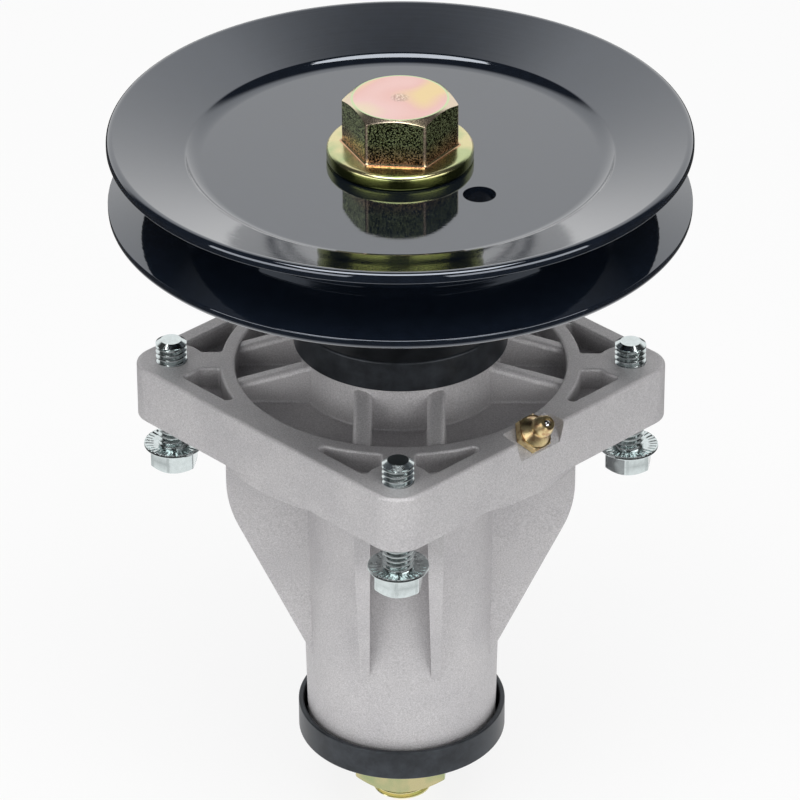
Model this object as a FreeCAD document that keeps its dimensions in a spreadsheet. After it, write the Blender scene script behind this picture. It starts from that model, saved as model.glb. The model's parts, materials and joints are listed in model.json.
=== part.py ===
"""Mower deck spindle: cast housing, two ball bearings, through bolt and pressed pulley.

Millimetres. The origin is on the spindle axis, in the plane where the square plate of the
housing seats on the mower deck. +Z points up to the pulley. The four corners of the plate
lie on the X and Y axes, and the grease fitting faces half way between +X and -Y.
"""
import FreeCAD
import Part
import math
import os
import Sketcher

Vector = FreeCAD.Vector
Rotation = FreeCAD.Rotation

SIZES = [
    # plate of the housing
    ("plate_side", 99.6),
    ("plate_thickness", 15.2),
    ("plate_corner_radius", 7.6),
    ("plate_edge_radius", 1.0),
    ("screw_inset", 8.525),
    ("pilot_margin", 0.3),
    ("pilot_height", 2.5),
    ("pilot_wall", 4.0),
    # upper side of the plate: ring, round recess and corner pockets
    ("ring_margin", 3.8),
    ("ring_wall", 3.8),
    ("recess_depth", 5.7),
    ("floor_thickness", 5.0),
    ("pocket_side_wall", 4.8),
    ("pocket_screw_wall", 4.6),
    ("pocket_bridge", 8.5),
    ("pocket_reach", 24.5),
    ("pocket_corner_radius", 1.1),
    ("pocket_rim_radius", 0.7),
    # tube and boss of the housing
    ("boss_height", 27.6),
    ("boss_foot_radius", 25.6),
    ("boss_end_radius", 24.8),
    ("tube_length", 93.0),
    ("tube_foot_radius", 26.6),
    ("tube_end_radius", 24.8),
    ("cavity_radius", 17.5),
    # ribs above the floor and gussets below the plate, in parallel pairs
    ("rib_spacing", 18.4),
    ("rib_thickness", 4.6),
    ("rib_rise", 5.0),
    ("rib_end_drop", 1.0),
    ("rib_edge_radius", 1.6),
    ("floor_fillet_radius", 0.6),
    ("ring_edge_radius", 0.7),
    ("gusset_thickness", 4.4),
    ("gusset_edge_thickness", 2.2),
    ("gusset_margin", 5.2),
    ("gusset_shoulder", 21.4),
    ("gusset_depth", 75.0),
    ("gusset_bend_radius", 32.0),
    # round flat for the grease fitting
    ("facet_margin", 5.9),
    ("facet_tilt", 46.0),
    ("facet_radius", 8.3),
    ("fitting_place", 3.35),
    ("fitting_hole_radius", 3.0),
    ("fitting_hole_depth", 6.0),
    ("grease_hole_radius", 1.2),
    ("grease_boss_radius", 4.2),
    ("grease_boss_start", 1.5),
    # ball bearings
    ("bearing_radius", 20.0),
    ("bearing_width", 12.0),
    ("bearing_inset", 0.3),
    ("ball_radius", 3.3735),
    ("ball_count", 8),
    ("ball_circle", 14.25),
    ("ball_play", 0.05),
    ("outer_race_bore", 16.9),
    ("inner_race_radius", 11.6),
    ("race_edge_radius", 0.6),
    ("cage_inner_radius", 13.1),
    ("cage_outer_radius", 15.4),
    ("cage_back", 4.25),
    ("cage_front", 1.6),
    ("cage_play", 0.1),
    ("seal_thickness", 0.9),
    ("seal_inset", 0.3),
    ("seal_lip_play", 0.12),
    ("seal_play", 0.03),
    ("seal_groove_radius", 17.6),
    # spindle bolt and nut
    ("shaft_radius", 7.9375),
    ("shaft_play", 0.03),
    ("bolt_flange_radius", 18.37),
    ("bolt_flange_thickness", 4.0),
    ("bolt_flange_edge_radius", 1.0),
    ("bolt_head_flats", 25.4),
    ("bolt_head_height", 12.6),
    ("bolt_head_turn", -4.45),
    ("bolt_thread_radius", 7.7),
    ("bolt_end_rise", 5.6),
    ("bolt_end_chamfer", 1.3),
    ("nut_flats", 23.8),
    ("nut_height", 15.0),
    ("nut_turn", -33.25),
    ("nut_countersink", 0.9),
    ("hexagon_chamfer_angle", 30.0),
    ("hexagon_crown", 0.95),
    # dust cups
    ("cup_radius", 27.25),
    ("cup_height", 8.4),
    ("cup_wall", 1.4),
    ("cup_base", 1.8),
    ("cup_end_gap", 0.9),
    ("cup_corner_radius", 0.6),
    # sleeves
    ("pulley_spacer_radius", 12.7),
    ("inner_spacer_radius", 11.2),
    # pulley
    ("pulley_radius", 73.0),
    ("pulley_middle", 70.8),
    ("sheet_thickness", 2.95),
    ("web_radius", 51.6),
    ("step_run", 1.9),
    ("step_rise", 1.75),
    ("flank_angle", 17.6),
    ("lip_radius", 1.4),
    ("bend_radius", 0.8),
    ("foot_bend_radius", 5.6),
    ("index_hole_radius", 4.1),
    ("index_hole_circle", 27.6),
    ("index_hole_turn", -44.5),
    # deck screws
    ("screw_radius", 3.97),
    ("screw_neck_radius", 3.6),
    ("screw_play", 0.03),
    ("screw_flange_radius", 7.67),
    ("screw_flange_thickness", 1.3),
    ("screw_head_flats", 11.1),
    ("screw_head_height", 5.4),
    ("screw_head_turn", -37.95),
    ("screw_gap", 9.0),
    ("screw_tip_rise", 5.9),
    ("screw_chamfer", 0.8),
    # grease fitting
    ("fitting_flats", 8.7),
    ("fitting_hexagon_height", 2.4),
    ("fitting_neck_radius", 2.3),
    ("fitting_cone_height", 1.5),
    ("fitting_neck_height", 0.9),
    ("fitting_head_radius", 2.75),
    ("fitting_head_height", 3.8),
    ("fitting_tip_radius", 1.85),
    ("fitting_bore_radius", 1.5),
    ("fitting_mouth_radius", 1.05),
    ("fitting_inlet_radius", 0.8),
    ("fitting_lip", 0.4),
    ("fitting_play", 0.03),
    ("fitting_ball_radius", 1.4),
    ("fitting_ball_drop", 0.05),
    ("fitting_spring_wire", 0.4),
    ("fitting_spring_radius", 1.15),
    ("fitting_spring_turns", 5),
]


class Size:
    """A length or angle that knows its value and the spreadsheet expression behind it."""

    def __init__(self, value, text):
        self.value = value
        self.text = text

    def __add__(self, other):
        other = as_size(other)
        return Size(self.value + other.value, f"({self.text} + {other.text})")

    def __sub__(self, other):
        other = as_size(other)
        return Size(self.value - other.value, f"({self.text} - {other.text})")

    def __mul__(self, other):
        other = as_size(other)
        return Size(self.value * other.value, f"({self.text} * {other.text})")

    def __truediv__(self, other):
        other = as_size(other)
        return Size(self.value / other.value, f"({self.text} / {other.text})")

    def __neg__(self):
        return Size(-self.value, f"(0 - {self.text})")

    __radd__ = __add__
    __rmul__ = __mul__


def as_size(number):
    return number if isinstance(number, Size) else Size(number, repr(number))


def sine(angle):
    return Size(math.sin(math.radians(angle.value)), f"sin({angle.text})")


def cosine(angle):
    return Size(math.cos(math.radians(angle.value)), f"cos({angle.text})")


def tangent(angle):
    return Size(math.tan(math.radians(angle.value)), f"tan({angle.text})")


def root(size):
    return Size(math.sqrt(size.value), f"sqrt({size.text})")


def smaller(first, second):
    return Size(min(first.value, second.value), f"min({first.text}; {second.text})")


class Sheet:
    """The spreadsheet of driving dimensions, read as attributes: D.plate_side."""

    def __init__(self, document, rows):
        self.cells = document.addObject("Spreadsheet::Sheet", "dims")
        for row, (name, value) in enumerate(rows, start=1):
            self.cells.set(f"A{row}", name)
            self.cells.set(f"B{row}", str(value))
            self.cells.setAlias(f"B{row}", name)
        document.recompute()

    def __getattr__(self, name):
        return Size(float(self.cells.get(name)), f"dims.{name}")


doc = FreeCAD.newDocument("mower_deck_spindle")
D = Sheet(doc, SIZES)
ZERO = as_size(0)


# Helpers that make bodies, sketches and features bound to the sheet


def new_body(label):
    body = doc.addObject("PartDesign::Body", label)
    body.Label = label
    return body


def bind(thing, path, size):
    """Bind one property, or one sketch constraint, of a document object to the sheet."""
    thing.setExpression(path, as_size(size).text)


def sketch_on(body, name, plane="XZ_Plane", offset=ZERO, turn=0.0, axis=(0, 1, 0)):
    """A sketch on one of the body's own origin planes, moved along the plane's normal."""
    sketch = body.newObject("Sketcher::SketchObject", name)
    support = [item for item in body.Origin.OriginFeatures if item.Role == plane][0]
    sketch.AttachmentSupport = [(support, "")]
    sketch.MapMode = "FlatFace"
    sketch.AttachmentOffset = FreeCAD.Placement(
        Vector(0, 0, offset.value), Rotation(Vector(*axis), turn)
    )
    if offset is not ZERO:
        bind(sketch, "AttachmentOffset.Base.z", offset)
    return sketch


def hold_point(sketch, geometry, point, place):
    """Hold a point of the sketch's geometry at (x, y) from the sketch's origin."""
    for kind, size in zip(("DistanceX", "DistanceY"), place):
        size = as_size(size)
        number = sketch.addConstraint(
            Sketcher.Constraint(kind, -1, 1, geometry, point, size.value)
        )
        bind(sketch, f"Constraints[{number}]", size)


def polygon(sketch, places):
    """A closed outline of straight lines through places, each held by two distances."""
    corners = [Vector(as_size(x).value, as_size(y).value, 0) for x, y in places]
    first = sketch.GeometryCount
    for start, end in zip(corners, corners[1:] + corners[:1]):
        sketch.addGeometry(Part.LineSegment(start, end), False)
    for index, place in enumerate(places):
        following = (index + 1) % len(places)
        sketch.addConstraint(
            Sketcher.Constraint("Coincident", first + index, 2, first + following, 1)
        )
        hold_point(sketch, first + index, 1, place)


def circle(sketch, radius, centre=(ZERO, ZERO)):
    x, y = (as_size(size).value for size in centre)
    radius = as_size(radius)
    index = sketch.addGeometry(Part.Circle(Vector(x, y, 0), Vector(0, 0, 1), radius.value), False)
    hold_point(sketch, index, 3, centre)
    number = sketch.addConstraint(Sketcher.Constraint("Radius", index, radius.value))
    bind(sketch, f"Constraints[{number}]", radius)


def hexagon(sketch, flats, turn):
    """A regular hexagon round the origin, with its first flat facing -Y at turn 0."""
    corner_radius = flats / (2 * cosine(as_size(30.0)))
    places = []
    for step in range(6):
        angle = turn + (60.0 * step - 60.0)
        places.append((corner_radius * cosine(angle), corner_radius * sine(angle)))
    polygon(sketch, places)


def revolve(body, name, places, cut=False):
    """Revolve an outline given as (radius, height) about the Z axis, adding or cutting."""
    sketch = sketch_on(body, name + "_outline")
    polygon(sketch, places)
    return revolve_sketch(body, name, sketch, cut)


def revolve_sketch(body, name, sketch, cut=False):
    feature = body.newObject("PartDesign::Groove" if cut else "PartDesign::Revolution", name)
    feature.Profile = sketch
    feature.ReferenceAxis = (sketch, ["V_Axis"])
    feature.Angle = 360
    return feature


def pad(body, name, sketch, length, down=False, midplane=False):
    feature = body.newObject("PartDesign::Pad", name)
    feature.Profile = sketch
    feature.Length = as_size(length).value
    bind(feature, "Length", length)
    feature.Reversed = down
    feature.Midplane = midplane
    return feature


def pocket(body, name, sketch, depth, up=False, midplane=False):
    """Cut a sketch into the body, against the sketch's normal unless up is set."""
    feature = body.newObject("PartDesign::Pocket", name)
    feature.Profile = sketch
    feature.Length = as_size(depth).value
    bind(feature, "Length", depth)
    feature.Reversed = up
    feature.Midplane = midplane
    return feature


def polar(body, name, features, count):
    pattern = body.newObject("PartDesign::PolarPattern", name)
    pattern.Originals = features
    pattern.Axis = (features[0].Profile[0], ["N_Axis"])
    pattern.Angle = 360
    pattern.Occurrences = count
    body.Tip = pattern
    return pattern


def mirrored_round(body, name, features, count):
    """Mirror features in the XZ plane, then repeat the pair round the Z axis."""
    origin = {item.Role: item for item in body.Origin.OriginFeatures}
    multi = body.newObject("PartDesign::MultiTransform", name)
    mirror = body.newObject("PartDesign::Mirrored", name + "_mirror")
    mirror.MirrorPlane = (origin["XZ_Plane"], [""])
    turn = body.newObject("PartDesign::PolarPattern", name + "_turn")
    turn.Axis = (origin["Z_Axis"], [""])
    turn.Angle = 360
    turn.Occurrences = count
    multi.Originals = features
    multi.Transformations = [mirror, turn]
    body.Tip = multi
    return multi


def edges_where(feature, test):
    """Names of the feature's edges whose midpoint and shape pass the test."""
    doc.recompute()
    names = []
    for index, edge in enumerate(feature.Shape.Edges, start=1):
        middle = edge.valueAt((edge.FirstParameter + edge.LastParameter) / 2)
        if test(edge, middle):
            names.append(f"Edge{index}")
    if not names:
        raise ValueError(f"no edge of {feature.Name} passes the test")
    return names


def dress(body, kind, name, feature, size_name, size, test):
    dressed = body.newObject(kind, name)
    dressed.Base = (feature, edges_where(feature, test))
    setattr(dressed, size_name, as_size(size).value)
    bind(dressed, size_name, size)
    return dressed


def fillet(body, name, feature, radius, test):
    return dress(body, "PartDesign::Fillet", name, feature, "Radius", radius, test)


def is_circle(edge, radius, height, middle):
    """True for a circle or arc about the Z axis with this radius at this height."""
    return (
        isinstance(edge.Curve, Part.Circle)
        and abs(edge.Curve.Radius - as_size(radius).value) < 1e-4
        and abs(middle.z - as_size(height).value) < 1e-4
        and math.hypot(edge.Curve.Center.x, edge.Curve.Center.y) < 1e-4
    )


def crown(body, name, flats, height, inward):
    """Chamfer a hexagon's corners with a cone that ends at the plane z = height.

    inward is -1 where the hexagon lies below that plane, and 1 where it lies above.
    """
    flat_radius = flats / 2 * D.hexagon_crown
    far_radius = flats
    drop = (far_radius - flat_radius) * tangent(D.hexagon_chamfer_angle) * inward
    beyond = height - flats * inward
    places = [
        (flat_radius, height),
        (far_radius, height + drop),
        (far_radius, beyond),
        (flat_radius, beyond),
    ]
    return revolve(body, name, places, cut=True)


# Places that several pieces share

BEARING_TOP = D.boss_height - D.bearing_inset
BEARING_UPPER = BEARING_TOP - D.bearing_width / 2
BEARING_LOWER = D.bearing_inset - D.tube_length + D.bearing_width / 2
CUP_TOP = D.boss_height + D.cup_end_gap + D.cup_base
CUP_BOTTOM = -(D.tube_length + D.cup_end_gap + D.cup_base)
WEB_BOTTOM = D.pulley_middle - D.sheet_thickness
WEB_TOP = D.pulley_middle + D.sheet_thickness
HALF_PLATE = D.plate_side / 2
SCREW_CIRCLE = (HALF_PLATE - D.screw_inset) * root(as_size(2.0))
PILOT_RADIUS = HALF_PLATE - D.pilot_margin
RING_OUTER = HALF_PLATE - D.ring_margin
RING_INNER = RING_OUTER - D.ring_wall
GUSSET_REACH = HALF_PLATE - D.gusset_margin
FACET_INNER = HALF_PLATE - D.facet_margin
RECESS_FLOOR = D.plate_thickness - D.recess_depth
BORE = D.shaft_radius + D.shaft_play
NUT_BOTTOM = CUP_BOTTOM - D.nut_height
FITTING_RADIUS = FACET_INNER + D.fitting_place * sine(D.facet_tilt)
FITTING_HEIGHT = D.plate_thickness - D.fitting_place * cosine(D.facet_tilt)


def housing():
    body = new_body("housing")
    plate_and_pilot(body)
    core(body)
    ribs_and_gussets(body)
    corner_pockets(body)
    screw_holes(body)
    grease_flat(body)
    bearing_bores(body)
    return body


def plate_and_pilot(body):
    """The square plate, its round pilot and the recesses above and below its floor."""
    half = HALF_PLATE
    square = sketch_on(body, "plate_outline", "XY_Plane", turn=45.0, axis=(0, 0, 1))
    polygon(square, [(-half, -half), (half, -half), (half, half), (-half, half)])
    plate = pad(body, "plate", square, D.plate_thickness)
    corner = half.value * math.sqrt(2)
    rounded = fillet(
        body, "plate_corners", plate, D.plate_corner_radius,
        lambda edge, middle: abs(middle.x) + abs(middle.y) > corner - 1e-3
        and abs(edge.tangentAt(edge.FirstParameter).z) > 0.99,
    )
    fillet(
        body, "plate_top_edge", rounded, D.plate_edge_radius,
        lambda edge, middle: abs(middle.z - D.plate_thickness.value) < 1e-4,
    )
    pilot = sketch_on(body, "pilot_outline", "XY_Plane")
    circle(pilot, PILOT_RADIUS)
    pad(body, "pilot", pilot, D.pilot_height, down=True)
    underside = sketch_on(body, "underside_outline", "XY_Plane", offset=-D.pilot_height)
    circle(underside, PILOT_RADIUS - D.pilot_wall)
    depth = D.pilot_height + RECESS_FLOOR - D.floor_thickness
    pocket(body, "underside", underside, depth, up=True)
    recess = sketch_on(body, "recess_outline", "XY_Plane", offset=D.plate_thickness)
    circle(recess, RING_INNER)
    pocket(body, "recess", recess, D.recess_depth)


def core(body):
    """The solid boss and tube, with the draft that lets the casting leave its die."""
    places = [
        (ZERO, -D.tube_length),
        (D.tube_end_radius, -D.tube_length),
        (D.tube_foot_radius, ZERO),
        (D.boss_foot_radius, RECESS_FLOOR),
        (D.boss_end_radius, D.boss_height),
        (ZERO, D.boss_height),
    ]
    revolve(body, "core", places)


def ribs_and_gussets(body):
    """Parallel pairs of ribs in the recess, and gussets under them, toward each corner."""
    inner = D.cavity_radius
    side = D.rib_spacing / 2
    rib = sketch_on(body, "rib_outline", offset=side)
    rib_end = D.plate_thickness - D.rib_end_drop
    rise = D.rib_rise * (RING_INNER - inner) / (RING_INNER - D.boss_foot_radius)
    polygon(rib, [
        (inner, RECESS_FLOOR - D.floor_thickness),
        (GUSSET_REACH, RECESS_FLOOR - D.floor_thickness),
        (GUSSET_REACH, rib_end),
        (RING_INNER, rib_end),
        (inner, rib_end + rise),
    ])
    first = pad(body, "rib", rib, D.rib_thickness, midplane=True)
    ribs = mirrored_round(body, "ribs", [first], 4)
    tops = fillet(body, "rib_tops", ribs, D.rib_edge_radius, is_rib_top)
    floor = fillet(
        body, "floor_corners", tops, D.floor_fillet_radius,
        lambda edge, middle: is_level(edge, RECESS_FLOOR.value)
        and math.hypot(middle.x, middle.y) > D.tube_end_radius.value,
    )
    fillet(
        body, "ring_edge", floor, D.ring_edge_radius,
        lambda edge, middle: is_circle(edge, RING_INNER, D.plate_thickness, middle),
    )
    lean = (GUSSET_REACH - inner) / (D.gusset_depth - D.gusset_shoulder)
    sections = [
        (D.floor_thickness * 0.5, GUSSET_REACH, D.gusset_thickness),
        (-D.gusset_shoulder, GUSSET_REACH, middle_thickness()),
        (-D.gusset_depth, GUSSET_REACH - lean * (D.gusset_depth - D.gusset_shoulder)
         + D.gusset_edge_thickness, D.gusset_edge_thickness),
    ]
    sketches = []
    for number, (height, reach, thickness) in enumerate(sections, start=1):
        section = sketch_on(body, f"gusset_section_{number}", "XY_Plane", offset=height)
        polygon(section, [
            (inner, side - thickness / 2),
            (reach, side - thickness / 2),
            (reach, side + thickness / 2),
            (inner, side + thickness / 2),
        ])
        sketches.append(section)
    gusset = body.newObject("PartDesign::AdditiveLoft", "gusset")
    gusset.Profile = sketches[0]
    gusset.Sections = sketches[1:]
    gusset.Ruled = True
    gussets = mirrored_round(body, "gussets", [gusset], 4)
    fillet(
        body, "gusset_bends", gussets, D.gusset_bend_radius,
        lambda edge, middle: abs(middle.z + D.gusset_shoulder.value) < 1e-3
        and max(abs(middle.x), abs(middle.y)) > GUSSET_REACH.value - 1e-3,
    )


def is_rib_top(edge, middle):
    """True for the long sloping edges along the tops of the ribs."""
    if not isinstance(edge.Curve, Part.Line):
        return False
    slope = abs(edge.tangentAt(edge.FirstParameter).z)
    return 0.05 < slope < 0.7 and middle.z > D.plate_thickness.value - D.rib_end_drop.value


def middle_thickness():
    top = D.floor_thickness * 0.5
    share = (D.gusset_shoulder + top) / (D.gusset_depth + top)
    return D.gusset_thickness - (D.gusset_thickness - D.gusset_edge_thickness) * share


def corner_pockets(body):
    """Two pockets at each corner, between the ring, the side wall and the screw."""
    sketch = sketch_on(body, "pocket_outline", "XY_Plane", offset=D.plate_thickness)
    inside = (HALF_PLATE - D.pocket_side_wall) * root(as_size(2.0))
    near = D.pocket_bridge / 2
    ring = RING_OUTER
    far = D.pocket_reach
    screw_wall = D.screw_radius + D.pocket_screw_wall
    ring_far = (ring * cosine(far), ring * sine(far))
    ring_near = (root(ring * ring - near * near), near)
    screw_near = (SCREW_CIRCLE - root(screw_wall * screw_wall - near * near), near)
    gap = (inside - SCREW_CIRCLE) / root(as_size(2.0))
    slant = root(screw_wall * screw_wall - gap * gap)
    diagonal = root(as_size(2.0))
    screw_far = (SCREW_CIRCLE + (gap - slant) / diagonal, (gap + slant) / diagonal)
    reach = inside / (cosine(far) + sine(far))
    side_far = (reach * cosine(far), reach * sine(far))
    lines = [(screw_far, side_far), (side_far, ring_far), (ring_near, screw_near)]
    for start, end in lines:
        index = sketch.addGeometry(
            Part.LineSegment(flat_point(start), flat_point(end)), False
        )
        hold_point(sketch, index, 1, start)
        hold_point(sketch, index, 2, end)
    arc_between(sketch, (ZERO, ZERO), ring, near_end=(2, 1), far_end=(1, 2))
    arc_between(sketch, (SCREW_CIRCLE, ZERO), screw_wall, near_end=(0, 1), far_end=(2, 2))
    first = pocket(body, "pocket", sketch, D.recess_depth)
    pockets = mirrored_round(body, "pockets", [first], 4)
    corner = smaller(D.pocket_corner_radius, (screw_near[0] - ring_near[0]) * 0.3)
    corner = smaller(corner, (reach - ring) * 0.5)
    top = D.plate_thickness.value
    rounded = fillet(
        body, "pocket_corners", pockets, corner,
        lambda edge, middle: is_upright(edge) and RECESS_FLOOR.value < middle.z < top
        and middle.Length > ring.value - 1e-3 and not is_on_outline(middle),
    )
    fillet(
        body, "pocket_rims", rounded, D.pocket_rim_radius,
        lambda edge, middle: is_level(edge, top) and math.hypot(middle.x, middle.y)
        > ring.value - 1e-3 and not is_on_outline(middle),
    )


def is_upright(edge):
    return isinstance(edge.Curve, Part.Line) and abs(edge.tangentAt(edge.FirstParameter).z) > 0.99


def is_level(edge, height):
    return all(abs(vertex.Point.z - height) < 1e-4 for vertex in edge.Vertexes)


def is_on_outline(middle):
    """True on the outer sides of the plate and their rounded edges."""
    outside = D.plate_side.value / math.sqrt(2) - D.plate_edge_radius.value * 1.5
    return abs(middle.x) + abs(middle.y) > outside


def flat_point(place):
    return Vector(as_size(place[0]).value, as_size(place[1]).value, 0)


def arc_between(sketch, centre, radius, near_end, far_end):
    """An arc that runs anticlockwise from one line's end to another's, about a centre."""
    start = sketch.getPoint(*near_end)
    end = sketch.getPoint(*far_end)
    middle = flat_point(centre)
    angles = [math.atan2(p.y - middle.y, p.x - middle.x) for p in (start, end)]
    whole = Part.Circle(middle, Vector(0, 0, 1), as_size(radius).value)
    index = sketch.addGeometry(Part.ArcOfCircle(whole, *angles), False)
    sketch.addConstraint(Sketcher.Constraint("Coincident", index, 1, *near_end))
    sketch.addConstraint(Sketcher.Constraint("Coincident", index, 2, *far_end))
    number = sketch.addConstraint(Sketcher.Constraint("Radius", index, as_size(radius).value))
    bind(sketch, f"Constraints[{number}]", radius)


def screw_holes(body):
    sketch = sketch_on(body, "screw_hole_outline", "XY_Plane", offset=D.plate_thickness)
    circle(sketch, D.screw_radius + D.screw_play, (SCREW_CIRCLE, ZERO))
    hole = pocket(body, "screw_hole", sketch, D.plate_thickness * 2)
    polar(body, "screw_holes", [hole], 4)


def on_fitting_axis(thing, path, outward):
    """Place a thing on the fitting's axis, outward from the flat, with Z along the axis."""
    radius = FITTING_RADIUS + outward * cosine(D.facet_tilt)
    height = FITTING_HEIGHT + outward * sine(D.facet_tilt)
    across = radius * cosine(as_size(45.0))
    lean = Rotation(Vector(0, 0, 1), -45) * Rotation(Vector(0, 1, 0), 90 - D.facet_tilt.value)
    setattr(thing, path, FreeCAD.Placement(
        Vector(across.value, -across.value, height.value), lean
    ))
    bind(thing, path + ".Base.x", across)
    bind(thing, path + ".Base.y", -across)
    bind(thing, path + ".Base.z", height)


def grease_flat(body):
    """A boss round the grease passage, and the spot-faced flat that the fitting seats on."""
    boss = slanted_sketch(body, "grease_boss_outline", -D.grease_boss_start)
    circle(boss, D.grease_boss_radius)
    length = FITTING_RADIUS / cosine(D.facet_tilt) - D.grease_boss_start
    pad(body, "grease_boss", boss, length, down=True)
    flat = slanted_sketch(body, "facet_outline", ZERO)
    circle(flat, D.facet_radius)
    pocket(body, "facet", flat, D.plate_thickness, up=True)
    hole = slanted_sketch(body, "fitting_hole_outline", ZERO)
    circle(hole, D.fitting_hole_radius)
    pocket(body, "fitting_hole", hole, D.fitting_hole_depth)
    passage = slanted_sketch(body, "grease_hole_outline", ZERO)
    circle(passage, D.grease_hole_radius)
    pocket(body, "grease_hole", passage, FITTING_RADIUS / cosine(D.facet_tilt))


def slanted_sketch(body, name, outward):
    sketch = sketch_on(body, name, "XY_Plane")
    on_fitting_axis(sketch, "AttachmentOffset", outward)
    return sketch


def bearing_bores(body):
    """The two bearing seats and the grease cavity between their shoulders."""
    top_shoulder = BEARING_TOP - D.bearing_width
    bottom_shoulder = D.bearing_inset - D.tube_length + D.bearing_width
    above = D.boss_height + D.bearing_width
    below = -(D.tube_length + D.bearing_width)
    places = [
        (ZERO, below),
        (D.bearing_radius, below),
        (D.bearing_radius, bottom_shoulder),
        (D.cavity_radius, bottom_shoulder),
        (D.cavity_radius, top_shoulder),
        (D.bearing_radius, top_shoulder),
        (D.bearing_radius, above),
        (ZERO, above),
    ]
    revolve(body, "bores", places, cut=True)


def tube(label, inner, outer, bottom, top):
    """A plain sleeve about the Z axis."""
    body = new_body(label)
    revolve(body, label + "_wall", [(inner, bottom), (outer, bottom), (outer, top), (inner, top)])
    return body


def spindle_bolt():
    """The through bolt: flange head above the pulley, threaded end below the nut."""
    body = new_body("spindle_bolt")
    end = NUT_BOTTOM - D.bolt_end_rise
    top = WEB_TOP + D.bolt_flange_thickness
    flange = revolve(body, "shank_and_flange", [
        (ZERO, end),
        (D.bolt_thread_radius - D.bolt_end_chamfer, end),
        (D.bolt_thread_radius, end + D.bolt_end_chamfer),
        (D.bolt_thread_radius, NUT_BOTTOM),
        (D.shaft_radius, NUT_BOTTOM),
        (D.shaft_radius, WEB_TOP),
        (D.bolt_flange_radius, WEB_TOP),
        (D.bolt_flange_radius, top),
        (ZERO, top),
    ])
    fillet(
        body, "flange_edge", flange, D.bolt_flange_edge_radius,
        lambda edge, middle: is_circle(edge, D.bolt_flange_radius, top, middle),
    )
    head = sketch_on(body, "head_outline", "XY_Plane", offset=top)
    hexagon(head, D.bolt_head_flats, D.bolt_head_turn)
    pad(body, "head", head, D.bolt_head_height)
    crown(body, "head_crown", D.bolt_head_flats, top + D.bolt_head_height, -1)
    return body


def bottom_nut():
    body = new_body("bottom_nut")
    outline = sketch_on(body, "nut_outline", "XY_Plane", offset=CUP_BOTTOM)
    hexagon(outline, D.nut_flats, D.nut_turn)
    pad(body, "nut_block", outline, D.nut_height, down=True)
    crown(body, "nut_lower_crown", D.nut_flats, NUT_BOTTOM, 1)
    crown(body, "nut_upper_crown", D.nut_flats, CUP_BOTTOM, -1)
    mouth = BORE + D.nut_countersink
    below = NUT_BOTTOM - D.nut_countersink
    above = CUP_BOTTOM + D.nut_countersink
    revolve(body, "nut_bore", [
        (ZERO, below),
        (mouth + D.nut_countersink, below),
        (BORE, NUT_BOTTOM + D.nut_countersink),
        (BORE, above),
        (ZERO, above),
    ], cut=True)
    return body


def dust_cup(label, height, flipped):
    """A cup whose outer base lies at the height given, with a raised pad for the race."""
    body = new_body(label)
    inner = D.cup_radius - D.cup_wall
    pad_top = D.cup_base + D.cup_end_gap + D.bearing_inset
    wall = revolve(body, label + "_wall", [
        (BORE, ZERO),
        (D.cup_radius, ZERO),
        (D.cup_radius, D.cup_height),
        (inner, D.cup_height),
        (inner, D.cup_base),
        (D.inner_race_radius, D.cup_base),
        (D.inner_race_radius, pad_top),
        (BORE, pad_top),
    ])
    fillet(
        body, label + "_corner", wall, D.cup_corner_radius,
        lambda edge, middle: is_circle(edge, D.cup_radius, ZERO, middle),
    )
    place_at(body, height, flipped)
    return body


def place_at(thing, height, flipped=False):
    """Put a piece at a height on the spindle axis, turned over if flipped is set."""
    turn = Rotation(Vector(1, 0, 0), 180 if flipped else 0)
    thing.Placement = FreeCAD.Placement(Vector(0, 0, height.value), turn)
    bind(thing, "Placement.Base.z", height)


def pulley_half(label, flipped):
    """One pressed sheet: flat web, short step and sloping flank with a rounded lip."""
    body = new_body(label)
    slope = tangent(D.flank_angle)
    step_radius = D.web_radius + D.step_run
    step_top = D.sheet_thickness + D.step_rise
    rim_top = step_top + (D.pulley_radius - step_radius) * slope
    rim_bottom = rim_top - D.sheet_thickness / cosine(D.flank_angle)
    under_foot = D.web_radius + D.sheet_thickness
    under_step = under_foot + D.step_run
    under_top = rim_bottom - (D.pulley_radius - under_step) * slope
    sheet = revolve(body, label + "_sheet", [
        (BORE, ZERO),
        (under_foot, ZERO),
        (under_step, under_top),
        (D.pulley_radius, rim_bottom),
        (D.pulley_radius, rim_top),
        (step_radius, step_top),
        (D.web_radius, D.sheet_thickness),
        (BORE, D.sheet_thickness),
    ])
    lip = fillet(
        body, label + "_lip", sheet, D.lip_radius,
        lambda edge, middle: is_circle(edge, D.pulley_radius, rim_top, middle),
    )
    foot = fillet(
        body, label + "_foot", lip, D.foot_bend_radius,
        lambda edge, middle: is_circle(edge, D.web_radius, D.sheet_thickness, middle),
    )
    bends = [
        (step_radius, step_top),
        (under_foot, ZERO),
        (under_step, under_top),
    ]
    fillet(
        body, label + "_bends", foot, D.bend_radius,
        lambda edge, middle: any(is_circle(edge, *bend, middle) for bend in bends),
    )
    hole = sketch_on(body, label + "_hole_outline", "XY_Plane", offset=D.sheet_thickness)
    turn = -D.index_hole_turn if flipped else D.index_hole_turn
    centre = (D.index_hole_circle * cosine(turn), D.index_hole_circle * sine(turn))
    circle(hole, D.index_hole_radius, centre)
    pocket(body, label + "_hole", hole, D.sheet_thickness * 2)
    place_at(body, D.pulley_middle, flipped)
    return body


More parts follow.
